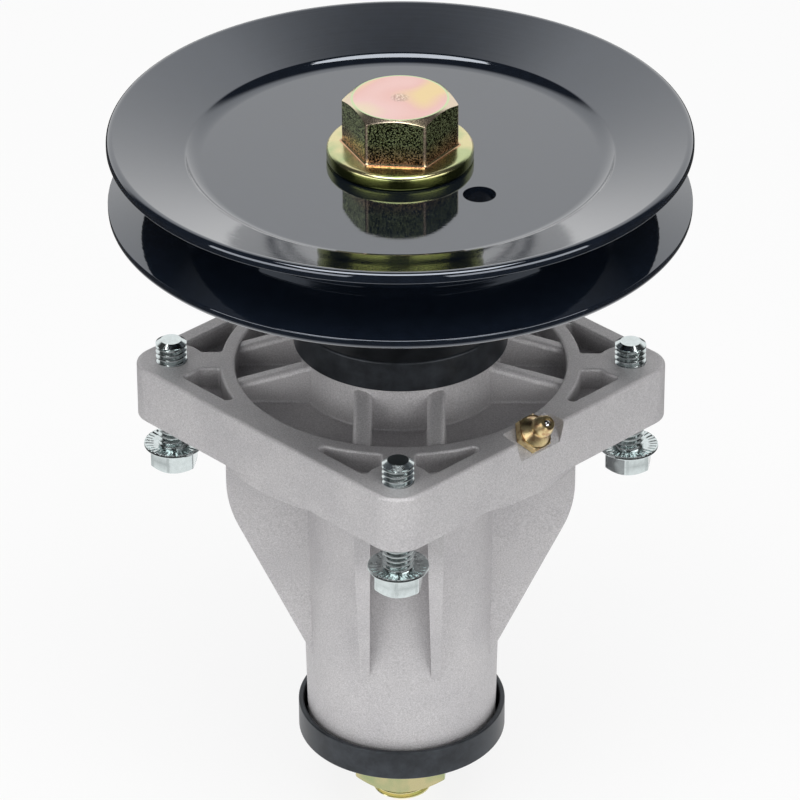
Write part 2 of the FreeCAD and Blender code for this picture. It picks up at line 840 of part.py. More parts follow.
def bearing(name, height):
    """The pieces of one sealed ball bearing, centred at a height on the spindle axis."""
    pieces = [
        outer_race(name + "_outer_race"),
        inner_race(name + "_inner_race"),
        ball_set(name + "_balls", D.ball_radius),
        cage(name + "_cage"),
        seal(name + "_top_seal"),
        seal(name + "_bottom_seal"),
    ]
    for piece in pieces:
        place_at(piece, height, flipped=piece.Label.endswith("bottom_seal"))
    return pieces


def race_groove(body, name):
    groove = sketch_on(body, name + "_groove_outline")
    circle(groove, D.ball_radius + D.ball_play, (D.ball_circle, ZERO))
    return revolve_sketch(body, name + "_groove", groove, cut=True)


def outer_race(label):
    body = new_body(label)
    end = D.bearing_width / 2
    seat = end - D.seal_inset - D.seal_thickness
    ring = revolve(body, label + "_ring", [
        (D.outer_race_bore, -seat),
        (D.seal_groove_radius, -seat),
        (D.seal_groove_radius, -end),
        (D.bearing_radius, -end),
        (D.bearing_radius, end),
        (D.seal_groove_radius, end),
        (D.seal_groove_radius, seat),
        (D.outer_race_bore, seat),
    ])
    fillet(
        body, label + "_edges", ring, D.race_edge_radius,
        lambda edge, middle: is_circle(edge, D.bearing_radius, end, middle)
        or is_circle(edge, D.bearing_radius, -end, middle),
    )
    race_groove(body, label)
    return body


def inner_race(label):
    body = new_body(label)
    end = D.bearing_width / 2
    ring = revolve(body, label + "_ring", [
        (BORE, -end),
        (D.inner_race_radius, -end),
        (D.inner_race_radius, end),
        (BORE, end),
    ])
    fillet(
        body, label + "_edges", ring, D.race_edge_radius,
        lambda edge, middle: is_circle(edge, BORE, end, middle)
        or is_circle(edge, BORE, -end, middle),
    )
    race_groove(body, label)
    return body


def ball_set(label, radius):
    """The balls of one bearing as a group of separate solids round its centre."""
    balls = []
    count = round(D.ball_count.value)
    for number in range(count):
        angle = as_size(number) * 360.0 / D.ball_count
        ball = doc.addObject("Part::Sphere", f"{label}_{number + 1}")
        bind(ball, "Radius", radius)
        bind(ball, "Placement.Base.x", D.ball_circle * cosine(angle))
        bind(ball, "Placement.Base.y", D.ball_circle * sine(angle))
        balls.append(ball)
    group = doc.addObject("Part::Compound", label)
    group.Label = label
    group.Links = balls
    return group


def cage(label):
    """A crown cage: a ring open on one side, with a round pocket for each ball."""
    cylinders = []
    for name, radius in (("outside", D.cage_outer_radius), ("inside", D.cage_inner_radius)):
        cylinder = doc.addObject("Part::Cylinder", f"{label}_{name}")
        bind(cylinder, "Radius", radius)
        bind(cylinder, "Height", D.cage_back + D.cage_front)
        bind(cylinder, "Placement.Base.z", -D.cage_back)
        cylinders.append(cylinder)
    ring = cut(label + "_ring", *cylinders)
    pockets = ball_set(label + "_pockets", D.ball_radius + D.cage_play)
    finished = cut(label, ring, pockets)
    finished.Label = label
    return finished


def cut(name, base, tool):
    result = doc.addObject("Part::Cut", name)
    result.Base = base
    result.Tool = tool
    return result


def seal(label):
    """A moulded seal: pressed into the outer race, with a lip just off the inner race."""
    body = new_body(label)
    face = D.bearing_width / 2 - D.seal_inset
    back = face - D.seal_thickness + D.seal_play
    lip = D.inner_race_radius + D.seal_lip_play
    rim = D.seal_groove_radius - D.seal_play
    step = D.seal_thickness / 2
    revolve(body, label + "_disc", [
        (lip, back),
        (rim, back),
        (rim, face),
        (rim - D.seal_thickness, face),
        (rim - D.seal_thickness - step, face - step),
        (lip + D.seal_thickness + step, face - step),
        (lip + D.seal_thickness, face),
        (lip, face),
    ])
    return body


def deck_screws():
    """Four equal flange screws, head down, one in each corner of the plate."""
    screws = []
    for number in range(4):
        angle = as_size(90.0 * number)
        screw = deck_screw(f"deck_screw_{number + 1}")
        bind(screw, "Placement.Base.x", SCREW_CIRCLE * cosine(angle))
        bind(screw, "Placement.Base.y", SCREW_CIRCLE * sine(angle))
        screws.append(screw)
    group = doc.addObject("Part::Compound", "deck_screws")
    group.Label = "deck_screws"
    group.Links = screws
    return group


def deck_screw(name):
    body = new_body(name)
    tip = D.plate_thickness + D.screw_tip_rise
    seat = -D.screw_gap
    flange_end = seat - D.screw_flange_thickness
    revolve(body, name + "_shank", [
        (ZERO, tip),
        (D.screw_radius - D.screw_chamfer, tip),
        (D.screw_radius, tip - D.screw_chamfer),
        (D.screw_radius, ZERO),
        (D.screw_neck_radius, ZERO),
        (D.screw_neck_radius, seat),
        (D.screw_flange_radius, seat),
        (D.screw_flange_radius, flange_end),
        (ZERO, flange_end),
    ])
    head = sketch_on(body, name + "_head_outline", "XY_Plane", offset=flange_end)
    hexagon(head, D.screw_head_flats, D.screw_head_turn)
    pad(body, name + "_head", head, D.screw_head_height, down=True)
    crown(body, name + "_crown", D.screw_head_flats, flange_end - D.screw_head_height, 1)
    return body


# Heights along the grease fitting's own axis, from the flat that it is screwed into

FITTING_CONE = D.fitting_hexagon_height + D.fitting_cone_height
FITTING_HEAD = FITTING_CONE + D.fitting_neck_height
FITTING_TIP = FITTING_HEAD + D.fitting_head_height
MOUTH_DEPTH = root(
    D.fitting_ball_radius * D.fitting_ball_radius
    - D.fitting_mouth_radius * D.fitting_mouth_radius
)
BALL_HEIGHT = FITTING_TIP - D.fitting_lip - MOUTH_DEPTH - D.fitting_ball_drop


def grease_fitting_body():
    body = new_body("grease_fitting_body")
    shank = D.fitting_hole_radius - D.fitting_play
    collar = D.fitting_flats / 2 * D.hexagon_crown
    band = D.fitting_head_height / 3
    revolve(body, "fitting_profile", [
        (ZERO, D.fitting_play - D.fitting_hole_depth),
        (shank, D.fitting_play - D.fitting_hole_depth),
        (shank, ZERO),
        (collar, ZERO),
        (collar, D.fitting_hexagon_height),
        (D.fitting_neck_radius, FITTING_CONE),
        (D.fitting_neck_radius, FITTING_HEAD),
        (D.fitting_head_radius, FITTING_HEAD + band),
        (D.fitting_head_radius, FITTING_HEAD + band * 2),
        (D.fitting_tip_radius, FITTING_TIP),
        (ZERO, FITTING_TIP),
    ])
    outline = sketch_on(body, "fitting_hexagon_outline", "XY_Plane")
    hexagon(outline, D.fitting_flats, ZERO)
    pad(body, "fitting_hexagon", outline, D.fitting_hexagon_height)
    crown(body, "fitting_crown", D.fitting_flats, D.fitting_hexagon_height, -1)
    lip_foot = FITTING_TIP - D.fitting_lip
    revolve(body, "fitting_bore", [
        (ZERO, -D.fitting_hole_depth),
        (D.fitting_inlet_radius, -D.fitting_hole_depth),
        (D.fitting_inlet_radius, ZERO),
        (D.fitting_bore_radius, ZERO),
        (D.fitting_bore_radius, lip_foot - D.fitting_lip),
        (D.fitting_mouth_radius, lip_foot),
        (D.fitting_mouth_radius, FITTING_TIP + D.fitting_lip),
        (ZERO, FITTING_TIP + D.fitting_lip),
    ], cut=True)
    on_fitting_axis(body, "Placement", ZERO)
    return body


def grease_fitting_ball():
    ball = doc.addObject("Part::Sphere", "grease_fitting_ball")
    bind(ball, "Radius", D.fitting_ball_radius)
    on_fitting_axis(ball, "Placement", BALL_HEIGHT)
    return ball


def grease_fitting_spring():
    """A square wire coil between the step in the fitting's bore and the ball."""
    wire = D.fitting_spring_wire / 2
    length = BALL_HEIGHT - D.fitting_ball_radius - wire * 2
    helix = doc.addObject("Part::Helix", "spring_helix")
    bind(helix, "Radius", D.fitting_spring_radius)
    bind(helix, "Height", length)
    bind(helix, "Pitch", length / D.fitting_spring_turns)
    section = doc.addObject("Part::RegularPolygon", "spring_section")
    section.Polygon = 4
    bind(section, "Circumradius", wire * root(as_size(2.0)))
    upright = Rotation(Vector(1, 0, 0), 90) * Rotation(Vector(0, 0, 1), 45)
    section.Placement = FreeCAD.Placement(Vector(), upright)
    bind(section, "Placement.Base.x", D.fitting_spring_radius)
    doc.recompute()
    coil = doc.addObject("Part::Sweep", "grease_fitting_spring")
    coil.Sections = [section]
    coil.Spine = (helix, ["Edge1"])
    coil.Solid = True
    coil.Frenet = True
    doc.recompute()
    on_fitting_axis(coil, "Placement", wire)
    return coil


def pulley_and_sleeves():
    race_gap_bottom = BEARING_LOWER + D.bearing_width / 2
    race_gap_top = BEARING_UPPER - D.bearing_width / 2
    return [
        pulley_half("pulley_upper_half", flipped=False),
        pulley_half("pulley_lower_half", flipped=True),
        tube("pulley_spacer", BORE, D.pulley_spacer_radius, CUP_TOP, WEB_BOTTOM),
        tube("inner_spacer", BORE, D.inner_spacer_radius, race_gap_bottom, race_gap_top),
    ]


def check_document():
    doc.recompute()
    for thing in doc.Objects:
        if "Invalid" in thing.State or "Error" in thing.State:
            raise RuntimeError(f"{thing.Name} failed: {thing.State}")


def export(piece):
    shape = piece.Shape
    if shape.isNull() or not shape.isValid():
        raise RuntimeError(f"{piece.Label} has no valid shape")
    shape.exportStep(os.path.join("parts", piece.Label + ".step"))
    print(f"{piece.Label}: {len(shape.Solids)} solid(s), {shape.Volume:.1f} mm3")


def main():
    pieces = [
        housing(),
        spindle_bolt(),
        bottom_nut(),
        dust_cup("upper_dust_cup", CUP_TOP, flipped=True),
        dust_cup("lower_dust_cup", CUP_BOTTOM, flipped=False),
        deck_screws(),
        grease_fitting_body(),
        grease_fitting_ball(),
        grease_fitting_spring(),
    ]
    pieces += pulley_and_sleeves()
    pieces += bearing("upper_bearing", BEARING_UPPER)
    pieces += bearing("lower_bearing", BEARING_LOWER)
    check_document()
    os.makedirs("parts", exist_ok=True)
    for piece in pieces:
        export(piece)


main()
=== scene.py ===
"""Mower deck spindle: finishes, threads, pressed and turned surfaces, studio and camera.

Sizes inside this file are millimetres and become metres when a mesh is made.
"""

import json
import math

import bmesh
import bpy
import numpy as np
from mathutils import Matrix, Vector


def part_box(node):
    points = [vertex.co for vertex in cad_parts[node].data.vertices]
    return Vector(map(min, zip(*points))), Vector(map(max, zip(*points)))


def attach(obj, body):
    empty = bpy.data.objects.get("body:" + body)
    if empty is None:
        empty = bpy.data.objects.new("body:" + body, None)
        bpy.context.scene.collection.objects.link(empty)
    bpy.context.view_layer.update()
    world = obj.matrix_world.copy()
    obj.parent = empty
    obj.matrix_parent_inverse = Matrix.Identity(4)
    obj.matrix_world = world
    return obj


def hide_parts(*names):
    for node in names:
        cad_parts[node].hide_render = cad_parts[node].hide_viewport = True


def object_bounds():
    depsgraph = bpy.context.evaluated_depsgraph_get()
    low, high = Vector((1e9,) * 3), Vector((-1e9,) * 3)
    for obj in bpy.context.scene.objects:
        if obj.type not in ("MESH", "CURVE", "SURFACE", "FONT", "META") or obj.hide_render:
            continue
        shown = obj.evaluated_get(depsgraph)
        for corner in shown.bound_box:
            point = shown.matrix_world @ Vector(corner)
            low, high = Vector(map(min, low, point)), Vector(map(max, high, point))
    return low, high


bl_info = {
    "name": "Mower deck spindle",
    "version": (1, 0, 0),
    "blender": (4, 5, 0),
    "location": "3D View > Sidebar > Spindle",
    "description": "Builds the looks of a mower deck spindle round its solid model",
    "category": "Object",
}

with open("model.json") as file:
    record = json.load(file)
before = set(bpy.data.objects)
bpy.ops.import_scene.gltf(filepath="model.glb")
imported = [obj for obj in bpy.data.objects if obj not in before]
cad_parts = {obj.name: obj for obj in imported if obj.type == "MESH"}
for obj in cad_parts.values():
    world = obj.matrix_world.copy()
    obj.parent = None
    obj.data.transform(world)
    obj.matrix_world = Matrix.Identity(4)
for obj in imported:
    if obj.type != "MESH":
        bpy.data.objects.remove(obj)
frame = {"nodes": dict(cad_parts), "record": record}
CAD_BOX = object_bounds()
NODES = frame["nodes"]
MM = 0.001


def extent(node):
    """Lowest and highest corner of a solid, in millimetres."""
    low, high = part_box(node)
    return np.array(low) / MM, np.array(high) / MM


# Places and sizes read from the solid model

BOLT_LOW, BOLT_HIGH = extent("spindle_bolt")
NUT_LOW, NUT_HIGH = extent("bottom_nut")
SCREWS_LOW, SCREWS_HIGH = extent("deck_screws")
UPPER_CUP_LOW, UPPER_CUP_HIGH = extent("upper_dust_cup")
CUP_RADIUS = UPPER_CUP_HIGH[0]
LOWER_CUP_BASE = extent("lower_dust_cup")[0][2]
PULLEY_MIDDLE = extent("pulley_upper_half")[0][2]
PULLEY_RADIUS = extent("pulley_lower_half")[1][0]
FLOOR_HEIGHT = CAD_BOX[0].z


def linear(code):
    """sRGB hex, such as #8090a0, to the linear colour that Blender mixes in."""
    values = np.array([int(code[start:start + 2], 16) for start in (1, 3, 5)]) / 255
    curve = np.where(values <= 0.04045, values / 12.92, ((values + 0.055) / 1.055) ** 2.4)
    return tuple(float(value) for value in curve)


def colour_property(name, description, code):
    return bpy.props.FloatVectorProperty(
        name=name, description=description, subtype="COLOR", size=3, min=0, max=1,
        default=linear(code),
    )


def size_property(name, description, value):
    return bpy.props.FloatProperty(name=name, description=description, default=value, min=0)


def angle_property(name, description, degrees):
    return bpy.props.FloatProperty(
        name=name, description=description, default=math.radians(degrees), subtype="ANGLE",
        unit="ROTATION",
    )


class SpindleSizes(bpy.types.PropertyGroup):
    """Sizes in millimetres of what the pieces add to the solid model."""

    sheet_thickness: size_property("Sheet", "Thickness of the pressed pulley sheets", 2.95)
    web_radius: size_property("Web radius", "Radius at the foot of the pulley's step", 51.6)
    step_run: size_property("Step run", "How far the step leans outward", 1.9)
    step_rise: size_property("Step rise", "Height of the step round the web", 1.75)
    foot_bend: size_property("Foot bend", "Radius of the bend at the foot of the step", 5.6)
    bend: size_property("Bend", "Radius of the other bends of a pulley sheet", 0.8)
    brow_bend: size_property("Brow bend", "Radius of the bend at the top of the step", 1.7)
    flank_angle: angle_property("Flank angle", "Slope of the groove's flanks", 17.6)
    index_hole_radius: size_property("Hole radius", "Radius of the hole in the web", 4.1)
    index_hole_circle: size_property("Hole circle", "Distance of that hole from the axis", 27.6)
    index_hole_turn: angle_property("Hole turn", "Azimuth of that hole", -44.5)
    bolt_flats: size_property("Bolt flats", "Across the flats of the bolt head", 25.4)
    bolt_turn: angle_property("Bolt turn", "Turn of the bolt head", -4.45)
    bolt_head_height: size_property("Bolt head", "Height of the bolt's hexagon", 12.6)
    bolt_flange_height: size_property("Bolt flange", "Thickness of the bolt's flange", 4.0)
    bolt_radius: size_property("Bolt radius", "Radius of the bolt's shank", 7.9375)
    bolt_end_radius: size_property("Bolt end", "Radius of the thread below the nut", 7.7)
    bolt_pitch: size_property("Bolt pitch", "Thread pitch of the bolt", 1.411)
    nut_flats: size_property("Nut flats", "Across the flats of the nut", 23.8)
    nut_turn: angle_property("Nut turn", "Turn of the nut", -33.25)
    plate_thickness: size_property("Plate", "Height of the plate's top above its seat", 15.2)
    screw_circle: size_property("Screw circle", "Radius of the circle of deck screws", 58.37)
    screw_radius: size_property("Screw radius", "Outer radius of the screw thread", 3.97)
    screw_pitch: size_property("Screw pitch", "Thread pitch of the deck screws", 1.411)
    screw_flats: size_property("Screw flats", "Across the flats of a screw head", 11.1)
    screw_head_height: size_property("Screw head", "Height of a screw's hexagon", 5.4)
    screw_flange_height: size_property("Screw flange", "Thickness of a screw's flange", 1.3)
    screw_turn: angle_property("Screw turn", "Turn of the screw heads", -37.95)
    serrations: bpy.props.IntProperty(
        name="Serrations", description="Radial teeth under a screw's flange", default=32, min=3,
    )
    serration_depth: size_property("Serration depth", "Height of those teeth", 0.26)
    fitting_flats: size_property("Fitting flats", "Across the flats of the fitting", 8.7)
    fitting_height: size_property("Fitting height", "From the housing's flat to its tip", 8.6)
    fitting_turn: angle_property("Fitting turn", "Turn of the fitting's hexagon", 30)
    cup_wall: size_property("Cup wall", "Wall thickness of the dust cups", 1.4)
    cup_base: size_property("Cup base", "Thickness of a cup's base", 1.8)
    cup_corner: size_property("Cup corner", "Outer radius between base and wall", 0.6)
    cup_pad: size_property("Cup pad", "Radius of the raised pad inside a cup", 11.6)
    cup_pad_height: size_property("Cup pad height", "Height of that pad", 1.2)
    bore_play: size_property("Bore play", "Gap between the bolt and what it passes", 0.05)
    crown_share: bpy.props.FloatProperty(
        name="Crown share", description="Radius of a crown's flat circle, as a share of half "
        "the flats", default=0.95, min=0.5, max=1.0,
    )


class SpindleColours(bpy.types.PropertyGroup):
    """Base colours of the finishes."""

    casting: colour_property("Casting", "Shot-blasted die-cast aluminium", "#c3c1c2")
    paint: colour_property("Paint", "Gloss black powder coat", "#0c1119")
    yellow_zinc: colour_property("Yellow zinc", "Yellow chromate on zinc", "#e2d8a6")
    pink_zinc: colour_property("Pink zinc", "Pink cast of the chromate film", "#efc4bc")
    green_zinc: colour_property("Green zinc", "Green cast of the chromate film", "#bfca98")
    bright_zinc: colour_property("Bright zinc", "Clear passivated zinc", "#dbe4e4")
    cup: colour_property("Cups", "Black oxide of the dust cups", "#282b2f")
    brass: colour_property("Fitting", "Yellow plated grease fitting", "#dfca98")


# Meshes from arrays


SHARP = 35.0  # degrees between faces past which an edge is hard
CHAMFER_SHARP = 24.0  # the same for hexagons, whose chamfers are shallow


def finish_mesh(name, points, faces, sharp=SHARP):
    """A mesh object in metres from points in millimetres, merged, closed and smooth."""
    mesh = bpy.data.meshes.new(name)
    mesh.from_pydata((np.asarray(points) * MM).tolist(), [], np.asarray(faces).tolist())
    shape = bmesh.new()
    shape.from_mesh(mesh)
    bmesh.ops.remove_doubles(shape, verts=shape.verts, dist=1e-7)
    bmesh.ops.recalc_face_normals(shape, faces=shape.faces)
    shape.to_mesh(mesh)
    shape.free()
    mesh.polygons.foreach_set("use_smooth", np.ones(len(mesh.polygons), bool))
    mesh.set_sharp_from_angle(angle=math.radians(sharp))
    piece = bpy.data.objects.new(name, mesh)
    bpy.context.scene.collection.objects.link(piece)
    return piece


def ring_points(radius, height, angle, turn=0.0):
    """Rings about the Z axis: x = r cos(a + turn), y = r sin(a + turn), z = h.

    radius and height are arrays of ring by angle, so each ring may be round or not.
    """
    radius, height, angle = np.broadcast_arrays(radius, height, angle)
    return np.stack([
        radius * np.cos(angle + turn), radius * np.sin(angle + turn), height,
    ], axis=-1)


def ring_faces(rings, count, closed=False):
    """Quads between neighbouring rings, and from the last ring to the first if closed."""
    ring, step = np.meshgrid(np.arange(rings if closed else rings - 1), np.arange(count),
                             indexing="ij")
    following = (ring + 1) % rings
    beside = (step + 1) % count
    return np.stack([
        ring * count + step, ring * count + beside,
        following * count + beside, following * count + step,
    ], axis=-1).reshape(-1, 4)


def ring_surface(name, radius, height, angle, turn=0.0, closed=False, places=((0, 0, 0),),
                 turned=None, sharp=SHARP, more=()):
    """One shell of rings, or equal shells at several places, as a single piece.

    more holds further parts of the shell, each a radius, a height and its own faces or None.
    """
    points, faces = np.empty((0, 3)), np.empty((0, 4), int)
    for radius, height, joined in ((radius, height, None), *more):
        rings = ring_points(radius, height, angle, turn)
        if joined is None:
            joined = ring_faces(*rings.shape[:2], closed)
        faces = np.concatenate([faces, joined + len(points)])
        points = np.concatenate([points, rings.reshape(-1, 3)])
    if turned is not None:
        points = points @ np.array(turned).T
    shells = [points + np.array(place) for place in places]
    numbers = [faces + len(points) * index for index in range(len(places))]
    return finish_mesh(name, np.concatenate(shells), np.concatenate(numbers), sharp)


def angles(count):
    return np.linspace(0, 2 * math.pi, count, endpoint=False)[None, :]


def column(values):
    return np.asarray(values, float)[:, None]


def rounded_profile(corners, closed=False, steps=5):
    """Straight runs joined by arcs, as an array of (radius, height).

    Each corner is (radius, height, fillet). With h half the angle between its runs, the arc
    starts and ends fillet / tan(h) from the corner, about a centre fillet / sin(h) away on
    the bisector.
    """
    places = np.array([corner[:2] for corner in corners], float)
    parts = []
    for index, corner in enumerate(corners):
        place = places[index]
        ends = index in (0, len(corners) - 1) and not closed
        if ends or corner[2] == 0:
            parts.append(place[None])
            continue
        before = places[index - 1] - place
        after = places[(index + 1) % len(corners)] - place
        before /= np.linalg.norm(before)
        after /= np.linalg.norm(after)
        half = 0.5 * math.acos(np.clip(before @ after, -1, 1))
        bisector = (before + after) / np.linalg.norm(before + after)
        centre = place + bisector * corner[2] / math.sin(half)
        start = place + before * corner[2] / math.tan(half) - centre
        end = place + after * corner[2] / math.tan(half) - centre
        first = math.atan2(start[1], start[0])
        sweep = (math.atan2(end[1], end[0]) - first + math.pi) % (2 * math.pi) - math.pi
        turn = first + np.linspace(0, 1, steps + 1) * sweep
        parts.append(centre + corner[2] * np.stack([np.cos(turn), np.sin(turn)], axis=-1))
    return np.concatenate(parts)


def hexagon_radius(angle, flats, sharpness=70.0):
    """Radius of a hexagon with softened corners, with a flat facing angle 0.

    It is half the flats over the p-norm of the cosines to the six flat normals.
    """
    normals = np.arange(6)[:, None, None] * math.pi / 3
    cosines = np.clip(np.cos(angle[None] - normals), 0, None)
    return flats / 2 / (cosines ** sharpness).sum(axis=0) ** (1 / sharpness)


def thread_shell(angle, low, high, radius, pitch, depth, fade=0.4):
    """A V thread from low to high: its radius, its height and its faces.

    Row i runs along the helix, at height low + pitch (i / rows in a turn + angle / turn), kept
    between low and high, so each edge of the thread is a row. Its depth is a wave of i with
    flat crest and root, fading out at both ends. The end of a row meets the start of the row
    one turn on.
    """
    wave = np.array([0, 0, 1, 2, 3, 3, 2, 1]) / 3
    turn = len(wave)
    row = column(np.arange(-turn, math.ceil((high - low) / pitch * turn) + turn + 1))
    height = np.clip(low + pitch * (row / turn + angle / (2 * math.pi)), low, high)
    ends = np.clip(np.minimum(height - low, high - height) / (pitch * fade), 0, 1)
    across = radius - depth * wave[row.astype(int) % turn] * ends
    rows, count = height.shape
    faces = ring_faces(rows, count).reshape(rows - 1, count, 4)
    faces[:, -1, 1:3] += turn * count
    return across, height, faces[:rows - 1 - turn].reshape(-1, 4)


def crowned_hexagon(angle, flats, top, bottom, circle_radius, slope=math.radians(30)):
    """Rings from the crown's circle at the top down the hexagon's sides to the bottom.

    The crown is a cone that falls by tan(slope) for each millimetre outside its circle.
    """
    direction = 1 if top > bottom else -1
    side = hexagon_radius(angle, flats)
    rounding = 0.25
    shares = column([0, 0.08, 0.35, 0.7])
    cone = circle_radius + (side - rounding - circle_radius) * shares
    edge = np.concatenate([cone, side - rounding, side - 0.07, side, side, side])
    height = top - (edge - circle_radius) * math.tan(slope) * direction
    height[-4] -= 0.02 * direction
    height[-3] -= 0.22 * direction
    height[-2] = (height[-3] + bottom) / 2
    height[-1] = bottom
    return edge, height


def stacked(*parts, angle):
    """Joins groups of rings, each a pair of radius and height, into two whole arrays."""
    radius = np.concatenate([np.broadcast_to(p[0], (len(p[0]), angle.shape[1])) for p in parts])
    height = np.concatenate([np.broadcast_to(p[1], (len(p[1]), angle.shape[1])) for p in parts])
    return radius, height


def profile_rings(points):
    points = np.asarray(points, float)
    return points[:, :1], points[:, 1:2]


# Materials


def add_node(tree, kind, links=(), **settings):
    """Adds a node, sets its properties and sockets, and links sockets to other nodes."""
    node = tree.nodes.new(kind)
    for name, value in settings.items():
        setattr(node, name, value)
    for socket, value in dict(links).items():
        target = node.inputs[socket]
        if isinstance(value, bpy.types.NodeSocket):
            tree.links.new(value, target)
        else:
            target.default_value = value
    return node


def new_material(name):
    material = bpy.data.materials.new(name)
    material.use_nodes = True
    tree = material.node_tree
    tree.nodes.clear()
    output = add_node(tree, "ShaderNodeOutputMaterial")
    shader = add_node(tree, "ShaderNodeBsdfPrincipled")
    tree.links.new(shader.outputs["BSDF"], output.inputs["Surface"])
    place = add_node(tree, "ShaderNodeTexCoord").outputs["Object"]
    return material, tree, shader, place


def noise(tree, place, feature_mm, detail=2.0, roughness=0.5):
    """Noise whose lumps are feature_mm across."""
    return add_node(tree, "ShaderNodeTexNoise", {
        "Vector": place, "Scale": 1 / (feature_mm * MM), "Detail": detail,
        "Roughness": roughness,
    }).outputs["Fac"]


def ramp(tree, value, stops):
    """A colour ramp with stops of (position, linear colour)."""
    node = add_node(tree, "ShaderNodeValToRGB", {"Fac": value})
    elements = node.color_ramp.elements
    while len(elements) < len(stops):
        elements.new(0.5)
    for element, (position, colour) in zip(elements, stops):
        element.position = position
        element.color = (*colour, 1)
    return node.outputs["Color"]


def axis_distance(tree, place):
    """Distance from the Z axis, in metres."""
    flat = add_node(tree, "ShaderNodeVectorMath", {0: place, 1: (1, 1, 0)},
                    operation="MULTIPLY").outputs["Vector"]
    return add_node(tree, "ShaderNodeVectorMath", {0: flat},
                    operation="LENGTH").outputs["Value"]


def value_range(tree, value, low, high, start=0.0, end=1.0):
    return add_node(tree, "ShaderNodeMapRange", {
        "Value": value, "From Min": start, "From Max": end, "To Min": low, "To Max": high,
    }).outputs["Result"]


def bump(tree, height, distance_mm, strength=1.0, normal=None):
    links = {"Height": height, "Distance": distance_mm * MM, "Strength": strength}
    if normal is not None:
        links["Normal"] = normal
    return add_node(tree, "ShaderNodeBump", links).outputs["Normal"]


def mixed(tree, share, first, second, blend="MIX"):
    node = add_node(tree, "ShaderNodeMix", data_type="RGBA", blend_type=blend)
    for socket, value in (("Factor_Float", share), ("A_Color", first), ("B_Color", second)):
        target = next(item for item in node.inputs if item.identifier == socket)
        if isinstance(value, bpy.types.NodeSocket):
            tree.links.new(value, target)
        else:
            target.default_value = value if socket == "Factor_Float" else (*value, 1)
    return next(item for item in node.outputs if item.identifier == "Result_Color")


def blended(tree, share, first, second):
    """A number between two others: first where share is 0, second where it is 1."""
    return add_node(tree, "ShaderNodeMix", {0: share, 2: first, 3: second}).outputs[0]


def scaled(colour, factor):
    return tuple(min(1.0, value * factor) for value in colour)


def cast_aluminium(colours):
    """Die-cast aluminium, shot blasted: a matt metal with fine dimples and sparkling grains,
    a little darker where the die left it smooth."""
    material, tree, shader, place = new_material("shot_blasted_die_cast_aluminium")
    base = tuple(colours.casting)
    grains = noise(tree, place, 0.36, detail=3.0, roughness=0.75)
    clouds = noise(tree, place, 14.0, detail=3.0)
    tone = ramp(tree, grains, [(0.3, scaled(base, 0.72)), (0.7, scaled(base, 1.24))])
    stain = ramp(tree, clouds, [(0.3, (0.90, 0.90, 0.91)), (0.7, (1.0, 1.0, 1.0))])
    tree.links.new(mixed(tree, 1.0, tone, stain, "MULTIPLY"), shader.inputs["Base Color"])
    tree.links.new(value_range(tree, grains, 0.42, 0.62), shader.inputs["Roughness"])
    shader.inputs["Metallic"].default_value = 0.45
    dimples = noise(tree, place, 0.5, detail=4.0, roughness=0.7)
    tree.links.new(bump(tree, dimples, 0.15, 0.8), shader.inputs["Normal"])
    return material


def black_powder_coat(colours):
    """Gloss black powder coat under a clear film: nearly a mirror, with a faint orange peel
    and the rings of the spinning tool in the steel under it."""
    material, tree, shader, place = new_material("gloss_black_powder_coat")
    base = tuple(colours.paint)
    dust = noise(tree, place, 3.0, detail=4.0)
    tree.links.new(
        ramp(tree, dust, [(0.3, base), (0.8, scaled(base, 1.5))]), shader.inputs["Base Color"]
    )
    shader.inputs["Roughness"].default_value = 0.06
    shader.inputs["IOR"].default_value = 1.65
    shader.inputs["Specular Tint"].default_value = (0.70, 0.82, 1.0, 1.0)
    shader.inputs["Coat Weight"].default_value = 1.0
    shader.inputs["Coat Roughness"].default_value = 0.04
    shader.inputs["Coat IOR"].default_value = 1.65
    slow = add_node(tree, "ShaderNodeVectorMath", {0: place, "Scale": 0.02},
                    operation="SCALE").outputs["Vector"]
    swept = add_node(tree, "ShaderNodeVectorMath",
                     {0: slow, 1: axis_distance(tree, place)},
                     operation="ADD").outputs["Vector"]
    marks = noise(tree, swept, 0.9, detail=2.0)
    peel = noise(tree, place, 2.6, detail=1.0)
    surface = bump(tree, peel, 0.006, 0.35, bump(tree, marks, 0.008, 0.5))
    tree.links.new(surface, shader.inputs["Normal"])
    tree.links.new(surface, shader.inputs["Coat Normal"])
    return material


CRYSTAL_MM = 0.28  # size of the crystals on the forged sides of the bolt's head


